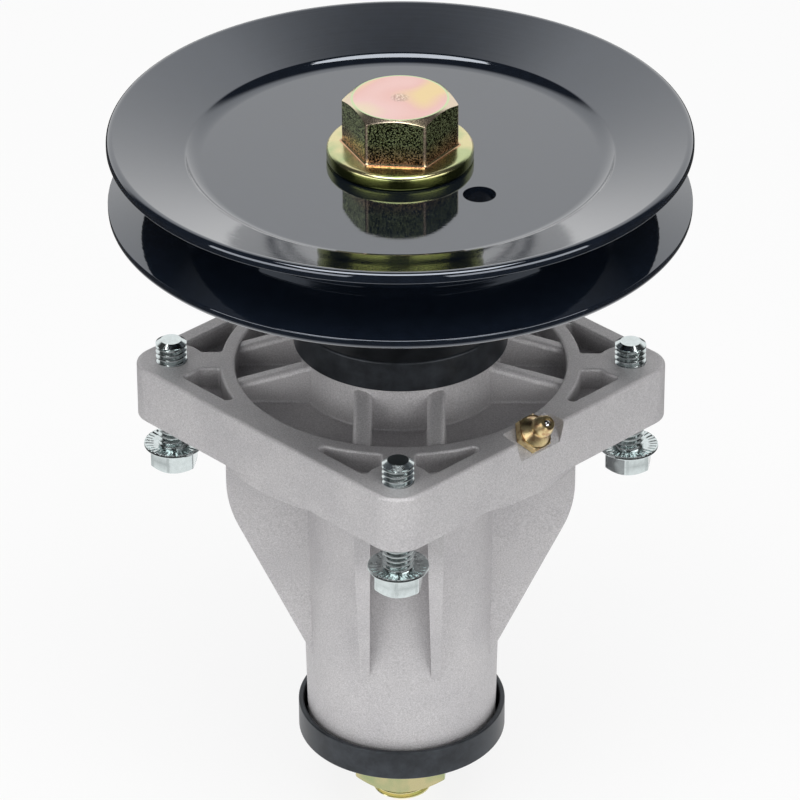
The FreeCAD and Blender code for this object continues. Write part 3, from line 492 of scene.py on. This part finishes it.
def forged_head(tree, place, film, pink, top, seat):
    """Chromate film of a forged bolt head, by height, distance from the axis and slope.

    Its top is pink and gold, with a rough centre mark and a pale green edge. The sides of its
    hexagon are dark and bright crystals, green above and copper toward the foot, with worn
    corners and a copper seam on the flange. The flange's side is smooth and dark olive green:
    the chromate's green, darkened as painted shade for the dark room that this side mirrors.
    Returns the film, and how far it is crystals.
    """
    radius = axis_distance(tree, place)
    height = add_node(tree, "ShaderNodeSeparateXYZ", {"Vector": place}).outputs["Z"]
    normal = add_node(tree, "ShaderNodeNewGeometry").outputs["Normal"]
    upward = add_node(tree, "ShaderNodeSeparateXYZ", {"Vector": normal}).outputs["Z"]

    def by_radius(first, second, inner, outer):
        return value_range(tree, radius, first, second, inner * MM, outer * MM)

    def by_height(low, high):
        return value_range(tree, height, 0, 1, low * MM, high * MM)

    def product(first, second):
        return add_node(tree, "ShaderNodeMath", {0: first, 1: second},
                        operation="MULTIPLY").outputs[0]

    cells = add_node(tree, "ShaderNodeTexVoronoi",
                     {"Vector": place, "Scale": 1 / (CRYSTAL_MM * MM)}).outputs["Color"]
    crystals = ramp(tree, cells, [
        (0.30, linear("#19190f")), (0.46, linear("#65634c")), (0.56, linear("#cac4a8")),
        (0.68, linear("#fffbe8")),
    ])
    disc = ramp(tree, noise(tree, place, 15.0, detail=0.5), [
        (0.38, linear("#f1d7a4")), (0.52, pink), (0.62, linear("#f2ccc6")),
        (0.72, linear("#eedcc0")),
    ])
    disc = mixed(tree, by_radius(0.35, 0, 1.5, 2.6), disc, crystals)
    edge = ramp(tree, by_radius(0, 1, 10, 15), [
        (0.30, (0, 0, 0)), (0.36, (1, 1, 1)), (0.42, (1, 1, 1)), (0.46, (0.4, 0.4, 0.4)),
    ])
    crown = mixed(tree, edge, disc, linear("#d3e2b4"))
    film = mixed(tree, by_height(top - 2.5, top - 2.0), film, crown)

    tint = mixed(tree, by_height(seat, top - 6.5), linear("#e2a190"), linear("#bfcfa4"))
    forged = mixed(tree, 1.0, crystals, tint, "MULTIPLY")
    forged = mixed(tree, by_radius(0, 0.7, 14.34, 14.5), forged, linear("#e2c8b2"))
    hexagon = by_radius(1, 0, 14.8, 15.0)
    upright = product(value_range(tree, upward, 1, 0, 0.15, 0.6),
                      by_height(seat - 5.4, seat - 4.8))
    # On the flange's side, outside the hexagon, the dark olive is the chromate's green darkened as
    # painted shade for the dark room that it mirrors
    film = mixed(tree, upright, film, mixed(tree, hexagon, linear("#8a9150"), forged))
    seam = ramp(tree, by_height(seat, seat + 1.0), [
        (0.05, (0, 0, 0)), (0.10, (0.8, 0.8, 0.8)), (0.22, (0.8, 0.8, 0.8)), (0.45, (0, 0, 0)),
    ])
    film = mixed(tree, seam, film, linear("#d2a080"))
    return film, product(upright, hexagon)


def yellow_chromate(colours, name="yellow_chromated_zinc", head=None, tone=1.0):
    """Yellow chromate on zinc: a bright metal under a thin film that drifts from gold to green
    and pink. head is the top and the foot of a forged head, in millimetres, if it has one."""
    material, tree, shader, place = new_material(name)
    drift = noise(tree, place, 9.0, detail=2.0)
    gold = scaled(colours.yellow_zinc, tone)
    pink = scaled(colours.pink_zinc, tone)
    green = scaled(colours.green_zinc, tone)
    film = ramp(tree, drift, [(0.42, green), (0.56, gold), (0.66, gold), (0.75, pink)])
    shader.inputs["Metallic"].default_value = 1.0
    if head:
        film, crystalline = forged_head(tree, place, film, pink, *head)
        tree.links.new(value_range(tree, crystalline, 1.0, 0.85), shader.inputs["Metallic"])
    tree.links.new(film, shader.inputs["Base Color"])
    speckle = noise(tree, place, 0.8, detail=4.0, roughness=0.75)
    tree.links.new(value_range(tree, speckle, 0.14, 0.28), shader.inputs["Roughness"])
    tree.links.new(bump(tree, speckle, 0.05, 0.25), shader.inputs["Normal"])
    return material


def bright_zinc(colours):
    """Clear passivated zinc plate: a bluish bright metal, slightly mottled."""
    material, tree, shader, place = new_material("clear_passivated_zinc")
    base = tuple(colours.bright_zinc)
    mottle = noise(tree, place, 1.2, detail=3.0)
    tree.links.new(
        ramp(tree, mottle, [(0.3, scaled(base, 0.88)), (0.7, base)]),
        shader.inputs["Base Color"],
    )
    shader.inputs["Metallic"].default_value = 1.0
    tree.links.new(value_range(tree, mottle, 0.12, 0.22), shader.inputs["Roughness"])
    tree.links.new(bump(tree, mottle, 0.01, 0.2), shader.inputs["Normal"])
    return material


def black_oxide(colours):
    """Black oxide on pressed steel: dark, satin and slightly blue, with rubbed streaks."""
    material, tree, shader, place = new_material("black_oxide_steel")
    base = tuple(colours.cup)
    rub = noise(tree, place, 5.0, detail=5.0, roughness=0.65)
    tree.links.new(
        ramp(tree, rub, [(0.35, base), (0.75, scaled(base, 2.2))]), shader.inputs["Base Color"]
    )
    shader.inputs["Metallic"].default_value = 0.55
    tree.links.new(value_range(tree, rub, 0.28, 0.5), shader.inputs["Roughness"])
    tree.links.new(bump(tree, rub, 0.05, 0.3), shader.inputs["Normal"])
    return material


def plated_fitting(colours):
    """Yellow plated steel of the grease fitting: warm, bright and a little mottled."""
    material, tree, shader, place = new_material("yellow_plated_fitting")
    base = tuple(colours.brass)
    mottle = noise(tree, place, 1.5, detail=2.0)
    copper = linear("#c09c74")
    tree.links.new(
        ramp(tree, mottle, [(0.35, copper), (0.5, base), (0.7, scaled(base, 1.2))]),
        shader.inputs["Base Color"],
    )
    shader.inputs["Metallic"].default_value = 1.0
    shader.inputs["Roughness"].default_value = 0.3
    tree.links.new(bump(tree, mottle, 0.02, 0.2), shader.inputs["Normal"])
    return material


def polished_steel(_colours):
    """Ground bearing steel: bright, with very fine grinding marks."""
    material, tree, shader, place = new_material("ground_bearing_steel")
    marks = noise(tree, place, 0.4, detail=2.0)
    tree.links.new(
        ramp(tree, marks, [(0.3, linear("#c4c5c7")), (0.7, linear("#dcdddf"))]),
        shader.inputs["Base Color"],
    )
    shader.inputs["Metallic"].default_value = 1.0
    shader.inputs["Roughness"].default_value = 0.12
    return material


def plain_steel(_colours):
    """Turned steel sleeve with a dark oiled skin."""
    material, tree, shader, place = new_material("oiled_turned_steel")
    marks = noise(tree, place, 2.0, detail=4.0)
    tree.links.new(
        ramp(tree, marks, [(0.3, linear("#4a4b4d")), (0.7, linear("#6a6b6d"))]),
        shader.inputs["Base Color"],
    )
    shader.inputs["Metallic"].default_value = 0.9
    tree.links.new(value_range(tree, marks, 0.3, 0.45), shader.inputs["Roughness"])
    return material


def moulded_material(name, low, high, roughness):
    material, tree, shader, place = new_material(name)
    grain = noise(tree, place, 0.8, detail=3.0)
    tree.links.new(
        ramp(tree, grain, [(0.3, linear(low)), (0.7, linear(high))]),
        shader.inputs["Base Color"],
    )
    shader.inputs["Roughness"].default_value = roughness
    tree.links.new(bump(tree, grain, 0.03, 0.3), shader.inputs["Normal"])
    return material


def moulded_nitrile(_colours):
    """Moulded nitrile rubber of the bearing seals: matt and nearly black."""
    return moulded_material("moulded_nitrile", "#141414", "#1e1e1e", 0.6)


def moulded_polyamide(_colours):
    """Moulded polyamide of the ball cages: tan and waxy."""
    return moulded_material("moulded_polyamide", "#5d4a2c", "#6f5a38", 0.4)


def dress(piece, material):
    piece.data.materials.clear()
    piece.data.materials.append(material)


def flat_shading(piece):
    """Keeps wide flat faces evenly shaded up to the roundings beside them."""
    weighted = piece.modifiers.new("even_flats", "WEIGHTED_NORMAL")
    weighted.keep_sharp = True
    weighted.weight = 100


def made(piece, material, body, slot, *replaced):
    """Finishes a new piece: its material, the body it rides on and the solids it stands for."""
    dress(piece, material)
    flat_shading(piece)
    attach(piece, body)
    if replaced:
        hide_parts(*replaced)
    return piece


def smooth_node(name, material, sharp=32.0):
    """Gives a solid its finish, and soft shading except across its real edges."""
    node = NODES[name]
    dress(node, material)
    node.data.polygons.foreach_set("use_smooth", np.ones(len(node.data.polygons), bool))
    weld = node.modifiers.new("one_skin", "WELD")
    weld.merge_threshold = 1e-6
    split = node.modifiers.new("real_edges", "EDGE_SPLIT")
    split.split_angle = math.radians(sharp)
    split.use_edge_sharp = False
    flat_shading(node)


# Pieces


def punched(piece, radius, centre, low, high):
    """Cuts one round hole along Z and applies it."""
    turn = angles(64)
    rim = column([0, radius, radius, 0])
    cutter = ring_surface("cutter", rim, column([low, low, high, high]), turn,
                          places=((*centre, 0),))
    cut = piece.modifiers.new("hole", "BOOLEAN")
    cut.operation = "DIFFERENCE"
    cut.object = cutter
    cut.solver = "EXACT"
    graph = bpy.context.evaluated_depsgraph_get()
    mesh = bpy.data.meshes.new_from_object(piece.evaluated_get(graph))
    piece.modifiers.clear()
    piece.data = mesh
    mesh.polygons.foreach_set("use_smooth", np.ones(len(mesh.polygons), bool))
    mesh.set_sharp_from_angle(angle=math.radians(SHARP))
    bpy.data.objects.remove(cutter)


class SPINDLE_OT_pulley(bpy.types.Operator):
    """Two pressed sheets with a rolled lip, back to back"""

    bl_idname = "spindle.pulley"
    bl_label = "Pressed pulley"

    def execute(self, context):
        sizes = context.scene.spindle_sizes
        paint = black_powder_coat(context.scene.spindle_colours)
        slope = math.tan(sizes.flank_angle)
        thickness = sizes.sheet_thickness
        bore = sizes.bolt_radius + sizes.bore_play
        step = sizes.web_radius + sizes.step_run
        rim_top = thickness + sizes.step_rise + (PULLEY_RADIUS - step) * slope
        rim_bottom = rim_top - thickness / math.cos(sizes.flank_angle)
        under_foot = sizes.web_radius + thickness
        under_step = under_foot + sizes.step_run
        profile = rounded_profile([
            (bore, 0, 0.1),
            (under_foot, 0, sizes.bend),
            (under_step, rim_bottom - (PULLEY_RADIUS - under_step) * slope, sizes.bend),
            (PULLEY_RADIUS, rim_bottom, 0.35),
            (PULLEY_RADIUS, rim_top, 1.4),
            (step, thickness + sizes.step_rise, sizes.brow_bend),
            (sizes.web_radius, thickness, sizes.foot_bend),
            (bore, thickness, 0.3),
        ], closed=True, steps=8)
        centre = (
            sizes.index_hole_circle * math.cos(sizes.index_hole_turn),
            sizes.index_hole_circle * math.sin(sizes.index_hole_turn),
        )
        for side, name in ((1, "upper"), (-1, "lower")):
            radius, height = profile_rings(profile)
            sheet = ring_surface(
                f"{name}_pressed_sheet", radius, PULLEY_MIDDLE + side * height, angles(360),
                closed=True, sharp=50,
            )
            punched(sheet, sizes.index_hole_radius, centre,
                    PULLEY_MIDDLE - 2 * thickness, PULLEY_MIDDLE + 2 * thickness)
            made(sheet, paint, "rotor", "black_paint", f"pulley_{name}_half")
        return {"FINISHED"}


class SPINDLE_OT_bolt(bpy.types.Operator):
    """The through bolt: crowned hexagon, rounded flange, shank and threaded end"""

    bl_idname = "spindle.bolt"
    bl_label = "Spindle bolt"

    def execute(self, context):
        sizes = context.scene.spindle_sizes
        angle = angles(288)
        top = BOLT_HIGH[2]
        seat = top - sizes.bolt_head_height
        under = seat - sizes.bolt_flange_height
        flange = BOLT_HIGH[0]
        circle_radius = sizes.bolt_flats / 2 * sizes.crown_share
        side = hexagon_radius(angle, sizes.bolt_flats)
        crown = crowned_hexagon(angle, sizes.bolt_flats, top, seat + 1.0, circle_radius)
        foot = (np.concatenate([side + 0.06, side + 0.25, side + 0.7]),
                column([seat + 0.6, seat + 0.25, seat + 0.06]))
        free = sizes.bolt_end_radius
        tip = BOLT_LOW[2]
        in_nut = NUT_LOW[2] + 1.1
        disc = rounded_profile([
            (sizes.bolt_flats / 2 + 3.4, seat, 0), (flange, seat - 0.15, 1.3),
            (flange, under, 0.9), (sizes.bolt_radius, under, 0.2),
            (sizes.bolt_radius, in_nut + 0.1, 0), (free, in_nut, 0),
        ])
        thread = thread_shell(angle, tip + 0.9, in_nut, free, sizes.bolt_pitch,
                              sizes.bolt_pitch * 0.6)
        end = *profile_rings([
            (free, tip + 0.9), (free - 1.1, tip + 0.05), (free - 1.3, tip), (0, tip),
        ]), None
        centre = profile_rings([(0, top), (circle_radius * 0.5, top), (circle_radius - 0.3, top)])
        radius, height = stacked(centre, crown, foot, profile_rings(disc), angle=angle)
        bolt = ring_surface("flange_bolt", radius, height, angle,
                            turn=sizes.bolt_turn - math.pi / 2, sharp=CHAMFER_SHARP,
                            more=(thread, end))
        finish = yellow_chromate(context.scene.spindle_colours, head=(top, seat))
        made(bolt, finish, "rotor", "yellow_zinc_steel", "spindle_bolt")
        return {"FINISHED"}


class SPINDLE_OT_nut(bpy.types.Operator):
    """The hexagon nut, crowned at both ends and countersunk"""

    bl_idname = "spindle.nut"
    bl_label = "Bottom nut"

    def execute(self, context):
        sizes = context.scene.spindle_sizes
        angle = angles(240)
        circle_radius = sizes.nut_flats / 2 * sizes.crown_share
        middle = (NUT_LOW[2] + NUT_HIGH[2]) / 2
        upper = crowned_hexagon(angle, sizes.nut_flats, NUT_HIGH[2], middle, circle_radius)
        lower = crowned_hexagon(angle, sizes.nut_flats, NUT_LOW[2], middle, circle_radius)
        bore = sizes.bolt_radius + sizes.bore_play
        radius, height = stacked(
            profile_rings([(bore, NUT_HIGH[2] - 0.9), (bore + 0.9, NUT_HIGH[2])]), upper,
            (lower[0][::-1], lower[1][::-1]),
            profile_rings([(bore + 0.9, NUT_LOW[2]), (bore, NUT_LOW[2] + 0.9)]), angle=angle,
        )
        nut = ring_surface("hexagon_nut", radius, height, angle,
                           turn=sizes.nut_turn - math.pi / 2, closed=True, sharp=CHAMFER_SHARP)
        finish = yellow_chromate(context.scene.spindle_colours, "yellow_chromated_nut", tone=0.72)
        made(nut, finish, "rotor", "yellow_zinc_steel", "bottom_nut")
        return {"FINISHED"}


class SPINDLE_OT_screws(bpy.types.Operator):
    """Four flange screws with rolled threads and a serrated flange"""

    bl_idname = "spindle.screws"
    bl_label = "Deck screws"

    def execute(self, context):
        sizes = context.scene.spindle_sizes
        angle = angles(192)
        tip = SCREWS_HIGH[2]
        bottom = SCREWS_LOW[2]
        under = bottom + sizes.screw_head_height
        seat = under + sizes.screw_flange_height
        flange = (SCREWS_HIGH[0] - SCREWS_LOW[0]) / 2 - sizes.screw_circle
        circle_radius = sizes.screw_flats / 2 * sizes.crown_share
        side = hexagon_radius(angle, sizes.screw_flats)
        crown = crowned_hexagon(angle, sizes.screw_flats, bottom, under - 0.5, circle_radius)
        foot = np.concatenate([side + 0.05, side + 0.3]), column([under - 0.25, under - 0.05])
        rim = profile_rings([
            (flange - 0.6, under + 0.25), (flange - 0.12, under + 0.4),
            (flange, under + 0.65), (flange - 0.08, seat - 0.2),
        ])
        tooth = (angle * sizes.serrations / (2 * math.pi)) % 1.0
        teeth = sizes.serration_depth * np.clip(1 - 3 * tooth, 0, 1)
        neck = sizes.screw_radius
        serrated = (column([flange - 0.35, flange - 0.9, neck + 2.0, neck + 1.2]),
                    seat - 0.05 - teeth * column([0.6, 1, 1, 0]) - column([0.0, 0.02, 0.15, 0.3]))
        inside = 1.5, sizes.plate_thickness - 1.5
        depth = sizes.screw_pitch * 0.58
        lower = thread_shell(angle, seat - 0.3, inside[0], neck, sizes.screw_pitch, depth)
        upper = thread_shell(angle, inside[1], tip - 0.9, neck, sizes.screw_pitch, depth,
                             fade=0.2)
        middle = *profile_rings([(neck, inside[0]), (neck, inside[1])]), None
        end = *profile_rings([(neck, tip - 0.9), (neck - 1.3, tip), (0, tip)]), None
        radius, height = stacked(
            profile_rings([(0, bottom), (circle_radius - 0.3, bottom)]), crown, foot, rim,
            serrated, profile_rings([(neck, seat - 0.3)]), angle=angle,
        )
        circle = sizes.screw_circle
        screws = ring_surface(
            "serrated_flange_screws", radius, height, angle, turn=sizes.screw_turn - math.pi / 2,
            places=((circle, 0, 0), (0, circle, 0), (-circle, 0, 0), (0, -circle, 0)),
            sharp=CHAMFER_SHARP, more=(lower, middle, upper, end),
        )
        made(screws, bright_zinc(context.scene.spindle_colours), "housing_body",
             "zinc_plated_steel", "deck_screws")
        return {"FINISHED"}


class SPINDLE_OT_cups(bpy.types.Operator):
    """Two equal pressed dust cups over the ends of the housing"""

    bl_idname = "spindle.cups"
    bl_label = "Dust cups"

    def execute(self, context):
        sizes = context.scene.spindle_sizes
        wall = sizes.cup_wall
        base = sizes.cup_base
        height = UPPER_CUP_HIGH[2] - UPPER_CUP_LOW[2]
        bore = sizes.bolt_radius + sizes.bore_play
        profile = rounded_profile([
            (bore, 0, 0), (CUP_RADIUS, 0, sizes.cup_corner), (CUP_RADIUS, height, 0.45),
            (CUP_RADIUS - wall, height, 0.45), (CUP_RADIUS - wall, base, 0.8),
            (sizes.cup_pad, base, 0.3), (sizes.cup_pad, base + sizes.cup_pad_height, 0.3),
            (bore, base + sizes.cup_pad_height, 0),
        ], closed=True, steps=6)
        oxide = black_oxide(context.scene.spindle_colours)
        for name, end, side in (("upper", UPPER_CUP_HIGH[2], -1), ("lower", LOWER_CUP_BASE, 1)):
            radius, rise = profile_rings(profile)
            cup = ring_surface(f"{name}_pressed_cup", radius, end + side * rise, angles(200),
                               closed=True)
            made(cup, oxide, "rotor", "black_cup_steel", f"{name}_dust_cup")
        return {"FINISHED"}


class SPINDLE_OT_fitting(bpy.types.Operator):
    """The grease fitting's body along its mount's axis: stem, hexagon, cone and hollow head"""

    bl_idname = "spindle.fitting"
    bl_label = "Grease fitting"

    def execute(self, context):
        sizes = context.scene.spindle_sizes
        mount = next(m for m in frame["record"]["mounts"] if m["name"] == "grease_nipple")
        tip = np.array(mount["pos_m"]) / MM
        depth = sizes.fitting_height
        axis = np.array(mount["axis"]) / np.linalg.norm(mount["axis"])
        level = np.cross((0, 0, 1), axis)
        level /= np.linalg.norm(level)
        turned = np.stack([level, np.cross(axis, level), axis], axis=-1)
        angle = angles(144)
        side = hexagon_radius(angle, sizes.fitting_flats)
        stem = profile_rings([(0.8, -5.9), (2.5, -5.9), (2.95, -5.3), (2.95, 0)])
        block = (np.concatenate([side - 0.2, side, side, np.minimum(side, 4.55)]),
                 column([0, 0.15, 2.05, 2.4]))
        head = profile_rings([
            (4.15, 2.4), (4.0, 2.62), (2.45, 4.35), (2.35, 4.75), (2.7, 5.25), (2.75, 5.5),
            (2.75, 6.5), (1.95, depth - 0.18), (1.75, depth), (1.15, depth),
            (1.05, depth - 0.1), (1.05, depth - 0.4), (1.5, depth - 0.8), (1.5, 0), (0.8, 0),
        ])
        radius, height = stacked(stem, block, head, angle=angle)
        fitting = ring_surface("nipple_body", radius, height - depth, angle, closed=True,
                               turn=sizes.fitting_turn, turned=turned, places=(tip,),
                               sharp=CHAMFER_SHARP)
        made(fitting, plated_fitting(context.scene.spindle_colours), "housing_body",
             "fitting_brass", "grease_fitting_body")
        return {"FINISHED"}


class SPINDLE_OT_solids(bpy.types.Operator):
    """Finishes of the solids that are shown as they are"""

    bl_idname = "spindle.solids"
    bl_label = "Finishes of the solids"

    def execute(self, context):
        colours = context.scene.spindle_colours
        smooth_node("housing", cast_aluminium(colours))
        steel = polished_steel(colours)
        sleeve = plain_steel(colours)
        smooth_node("grease_fitting_ball", steel)
        smooth_node("grease_fitting_spring", sleeve)
        smooth_node("pulley_spacer", sleeve)
        smooth_node("inner_spacer", sleeve)
        rubber = moulded_nitrile(colours)
        cage = moulded_polyamide(colours)
        for place in ("upper", "lower"):
            for piece in ("outer_race", "inner_race", "balls"):
                smooth_node(f"{place}_bearing_{piece}", steel)
            smooth_node(f"{place}_bearing_cage", cage)
            for piece in ("top_seal", "bottom_seal"):
                smooth_node(f"{place}_bearing_{piece}", rubber)
        return {"FINISHED"}


# Studio


# The camera as fitted to the photograph, in metres, with the lens in millimetres
CAMERA_DISTANCE = 1.3353
CAMERA_ELEVATION = math.radians(30.765)
CAMERA_AZIMUTH = math.radians(0.75)
CAMERA_TARGET = Vector((-0.000229, 0, 0.0034))
CAMERA_ROLL = math.radians(-0.174)
CAMERA_LENS_MM = 235.07
CAMERA_SENSOR_MM = 36
FAR_CLIP = 20
SOFT_BOXES = (  # name, width and height in metres, place, watts
    ("left_box", 1.9, 1.2, (-1.3, -1.3, 0.3), 18),
    ("right_box", 1.9, 1.2, (1.3, -1.3, 0.3), 18),
    ("top_strip", 1.6, 0.8, (0, -0.5, 1.55), 20),
)
AIR_LIGHT = 0.42  # plain light of the air on the object
WALL_START, WALL_FULL = 0.39, 0.64  # backward share of a direction that mirrors the white wall
ROOM_DARK = 0.03  # light of the rest of the mirrored room
FLOOR_NEAR, FLOOR_FAR = 0.14, 0.36  # metres from the axis where the mirrored floor dims
FLOOR_DARK = 0.04
FLOOR_HALF = 6.0  # half the side of the floor, in metres
FLOOR_WHITE = 0.85  # share of plain white that the camera sees in the floor
FLOOR_GAP = 0.0005  # metres below the tip of the bolt


def soft_box(name, width, height, place, power):
    """A rectangular lamp that faces the origin."""
    light = bpy.data.lights.new(name, "AREA")
    light.shape = "RECTANGLE"
    light.size = width
    light.size_y = height
    light.energy = power
    box = bpy.data.objects.new(name, light)
    box.location = place
    box.rotation_euler = (-Vector(place)).to_track_quat("-Z", "Y").to_euler()
    bpy.context.scene.collection.objects.link(box)


class SPINDLE_OT_stage(bpy.types.Operator):
    """Pale floor, soft boxes, world and camera"""

    bl_idname = "spindle.stage"
    bl_label = "Studio"

    def execute(self, context):
        scene = context.scene
        scene.view_settings.view_transform = "Standard"
        self.make_camera(scene)
        self.make_world(scene)
        self.make_floor(scene)
        for box in SOFT_BOXES:
            soft_box(*box)
        return {"FINISHED"}

    def make_camera(self, scene):
        data = bpy.data.cameras.new("camera")
        data.lens = CAMERA_LENS_MM
        data.sensor_width = CAMERA_SENSOR_MM
        data.clip_end = FAR_CLIP
        camera = bpy.data.objects.new("camera", data)
        level = math.cos(CAMERA_ELEVATION)
        back = Vector((
            level * math.sin(CAMERA_AZIMUTH), -level * math.cos(CAMERA_AZIMUTH),
            math.sin(CAMERA_ELEVATION),
        ))
        turn = (-back).to_track_quat("-Z", "Y").to_matrix()
        roll = Matrix.Rotation(CAMERA_ROLL, 3, "Z")
        camera.matrix_world = Matrix.LocRotScale(
            CAMERA_TARGET + back * CAMERA_DISTANCE, (turn @ roll).to_quaternion(), None
        )
        scene.collection.objects.link(camera)
        scene.camera = camera

    def make_world(self, scene):
        world = bpy.data.worlds.new("studio_air")
        world.use_nodes = True
        tree = world.node_tree
        tree.nodes.clear()
        path = add_node(tree, "ShaderNodeLightPath")
        direction = add_node(tree, "ShaderNodeTexCoord").outputs["Generated"]
        behind = add_node(tree, "ShaderNodeSeparateXYZ", {"Vector": direction}).outputs["Y"]
        mirrored = add_node(tree, "ShaderNodeMapRange", {
            "Value": behind, "From Min": WALL_START, "From Max": WALL_FULL,
            "To Min": ROOM_DARK, "To Max": 1.0,
        }, interpolation_type="SMOOTHSTEP").outputs["Result"]
        strength = AIR_LIGHT
        for ray, seen in (("Is Glossy Ray", mirrored), ("Is Transmission Ray", mirrored),
                          ("Is Camera Ray", 1.0)):
            strength = blended(tree, path.outputs[ray], strength, seen)
        air = add_node(tree, "ShaderNodeBackground", {"Color": (1, 1, 1, 1), "Strength": strength})
        add_node(tree, "ShaderNodeOutputWorld", {"Surface": air.outputs[0]})
        scene.world = world

    def make_floor(self, scene):
        half = FLOOR_HALF
        mesh = bpy.data.meshes.new("pale_floor")
        mesh.from_pydata([
            (-half, -half, 0), (half, -half, 0), (half, half, 0), (-half, half, 0),
        ], [], [(0, 1, 2, 3)])
        floor = bpy.data.objects.new("pale_floor", mesh)
        floor.location.z = FLOOR_HEIGHT - FLOOR_GAP
        scene.collection.objects.link(floor)
        material = bpy.data.materials.new("pale_paper")
        material.use_nodes = True
        tree = material.node_tree
        tree.nodes.clear()
        path = add_node(tree, "ShaderNodeLightPath")
        place = add_node(tree, "ShaderNodeTexCoord").outputs["Object"]
        reach = add_node(tree, "ShaderNodeVectorMath", {0: place},
                         operation="LENGTH").outputs["Value"]
        mirrored = add_node(tree, "ShaderNodeMapRange", {
            "Value": reach, "From Min": FLOOR_NEAR, "From Max": FLOOR_FAR,
            "To Min": 1.0, "To Max": FLOOR_DARK,
        }, interpolation_type="SMOOTHSTEP").outputs["Result"]
        share, strength = 0.0, 1.0
        for ray in ("Is Glossy Ray", "Is Transmission Ray"):
            share = blended(tree, path.outputs[ray], share, 1.0)
            strength = blended(tree, path.outputs[ray], strength, mirrored)
        share = blended(tree, path.outputs["Is Camera Ray"], share, FLOOR_WHITE)
        paper = add_node(tree, "ShaderNodeBsdfDiffuse", {"Color": (0.8, 0.8, 0.8, 1)})
        white = add_node(tree, "ShaderNodeEmission",
                         {"Color": (1, 1, 1, 1), "Strength": strength})
        mix = add_node(tree, "ShaderNodeMixShader", {
            0: share, 1: paper.outputs[0], 2: white.outputs[0],
        })
        add_node(tree, "ShaderNodeOutputMaterial", {"Surface": mix.outputs[0]})
        mesh.materials.append(material)


OPERATORS = (
    SPINDLE_OT_pulley, SPINDLE_OT_bolt, SPINDLE_OT_nut, SPINDLE_OT_screws, SPINDLE_OT_cups,
    SPINDLE_OT_fitting, SPINDLE_OT_solids, SPINDLE_OT_stage,
)


class SPINDLE_PT_panel(bpy.types.Panel):
    """Lists the steps that build the spindle"""

    bl_idname = "SPINDLE_PT_panel"
    bl_label = "Spindle"
    bl_space_type = "VIEW_3D"
    bl_region_type = "UI"
    bl_category = "Spindle"

    def draw(self, context):
        for operator in OPERATORS:
            self.layout.operator(operator.bl_idname)
        for group in (context.scene.spindle_sizes, context.scene.spindle_colours):
            for name in group.__annotations__:
                self.layout.prop(group, name)


CLASSES = (SpindleSizes, SpindleColours, *OPERATORS, SPINDLE_PT_panel)


def register():
    for item in CLASSES:
        bpy.utils.register_class(item)
    bpy.types.Scene.spindle_sizes = bpy.props.PointerProperty(type=SpindleSizes)
    bpy.types.Scene.spindle_colours = bpy.props.PointerProperty(type=SpindleColours)


def unregister():
    del bpy.types.Scene.spindle_colours
    del bpy.types.Scene.spindle_sizes
    for item in reversed(CLASSES):
        bpy.utils.unregister_class(item)


def main():
    register()
    for operator in OPERATORS:
        group, name = operator.bl_idname.split(".")
        getattr(getattr(bpy.ops, group), name)()


if __name__ == "__main__":
    main()
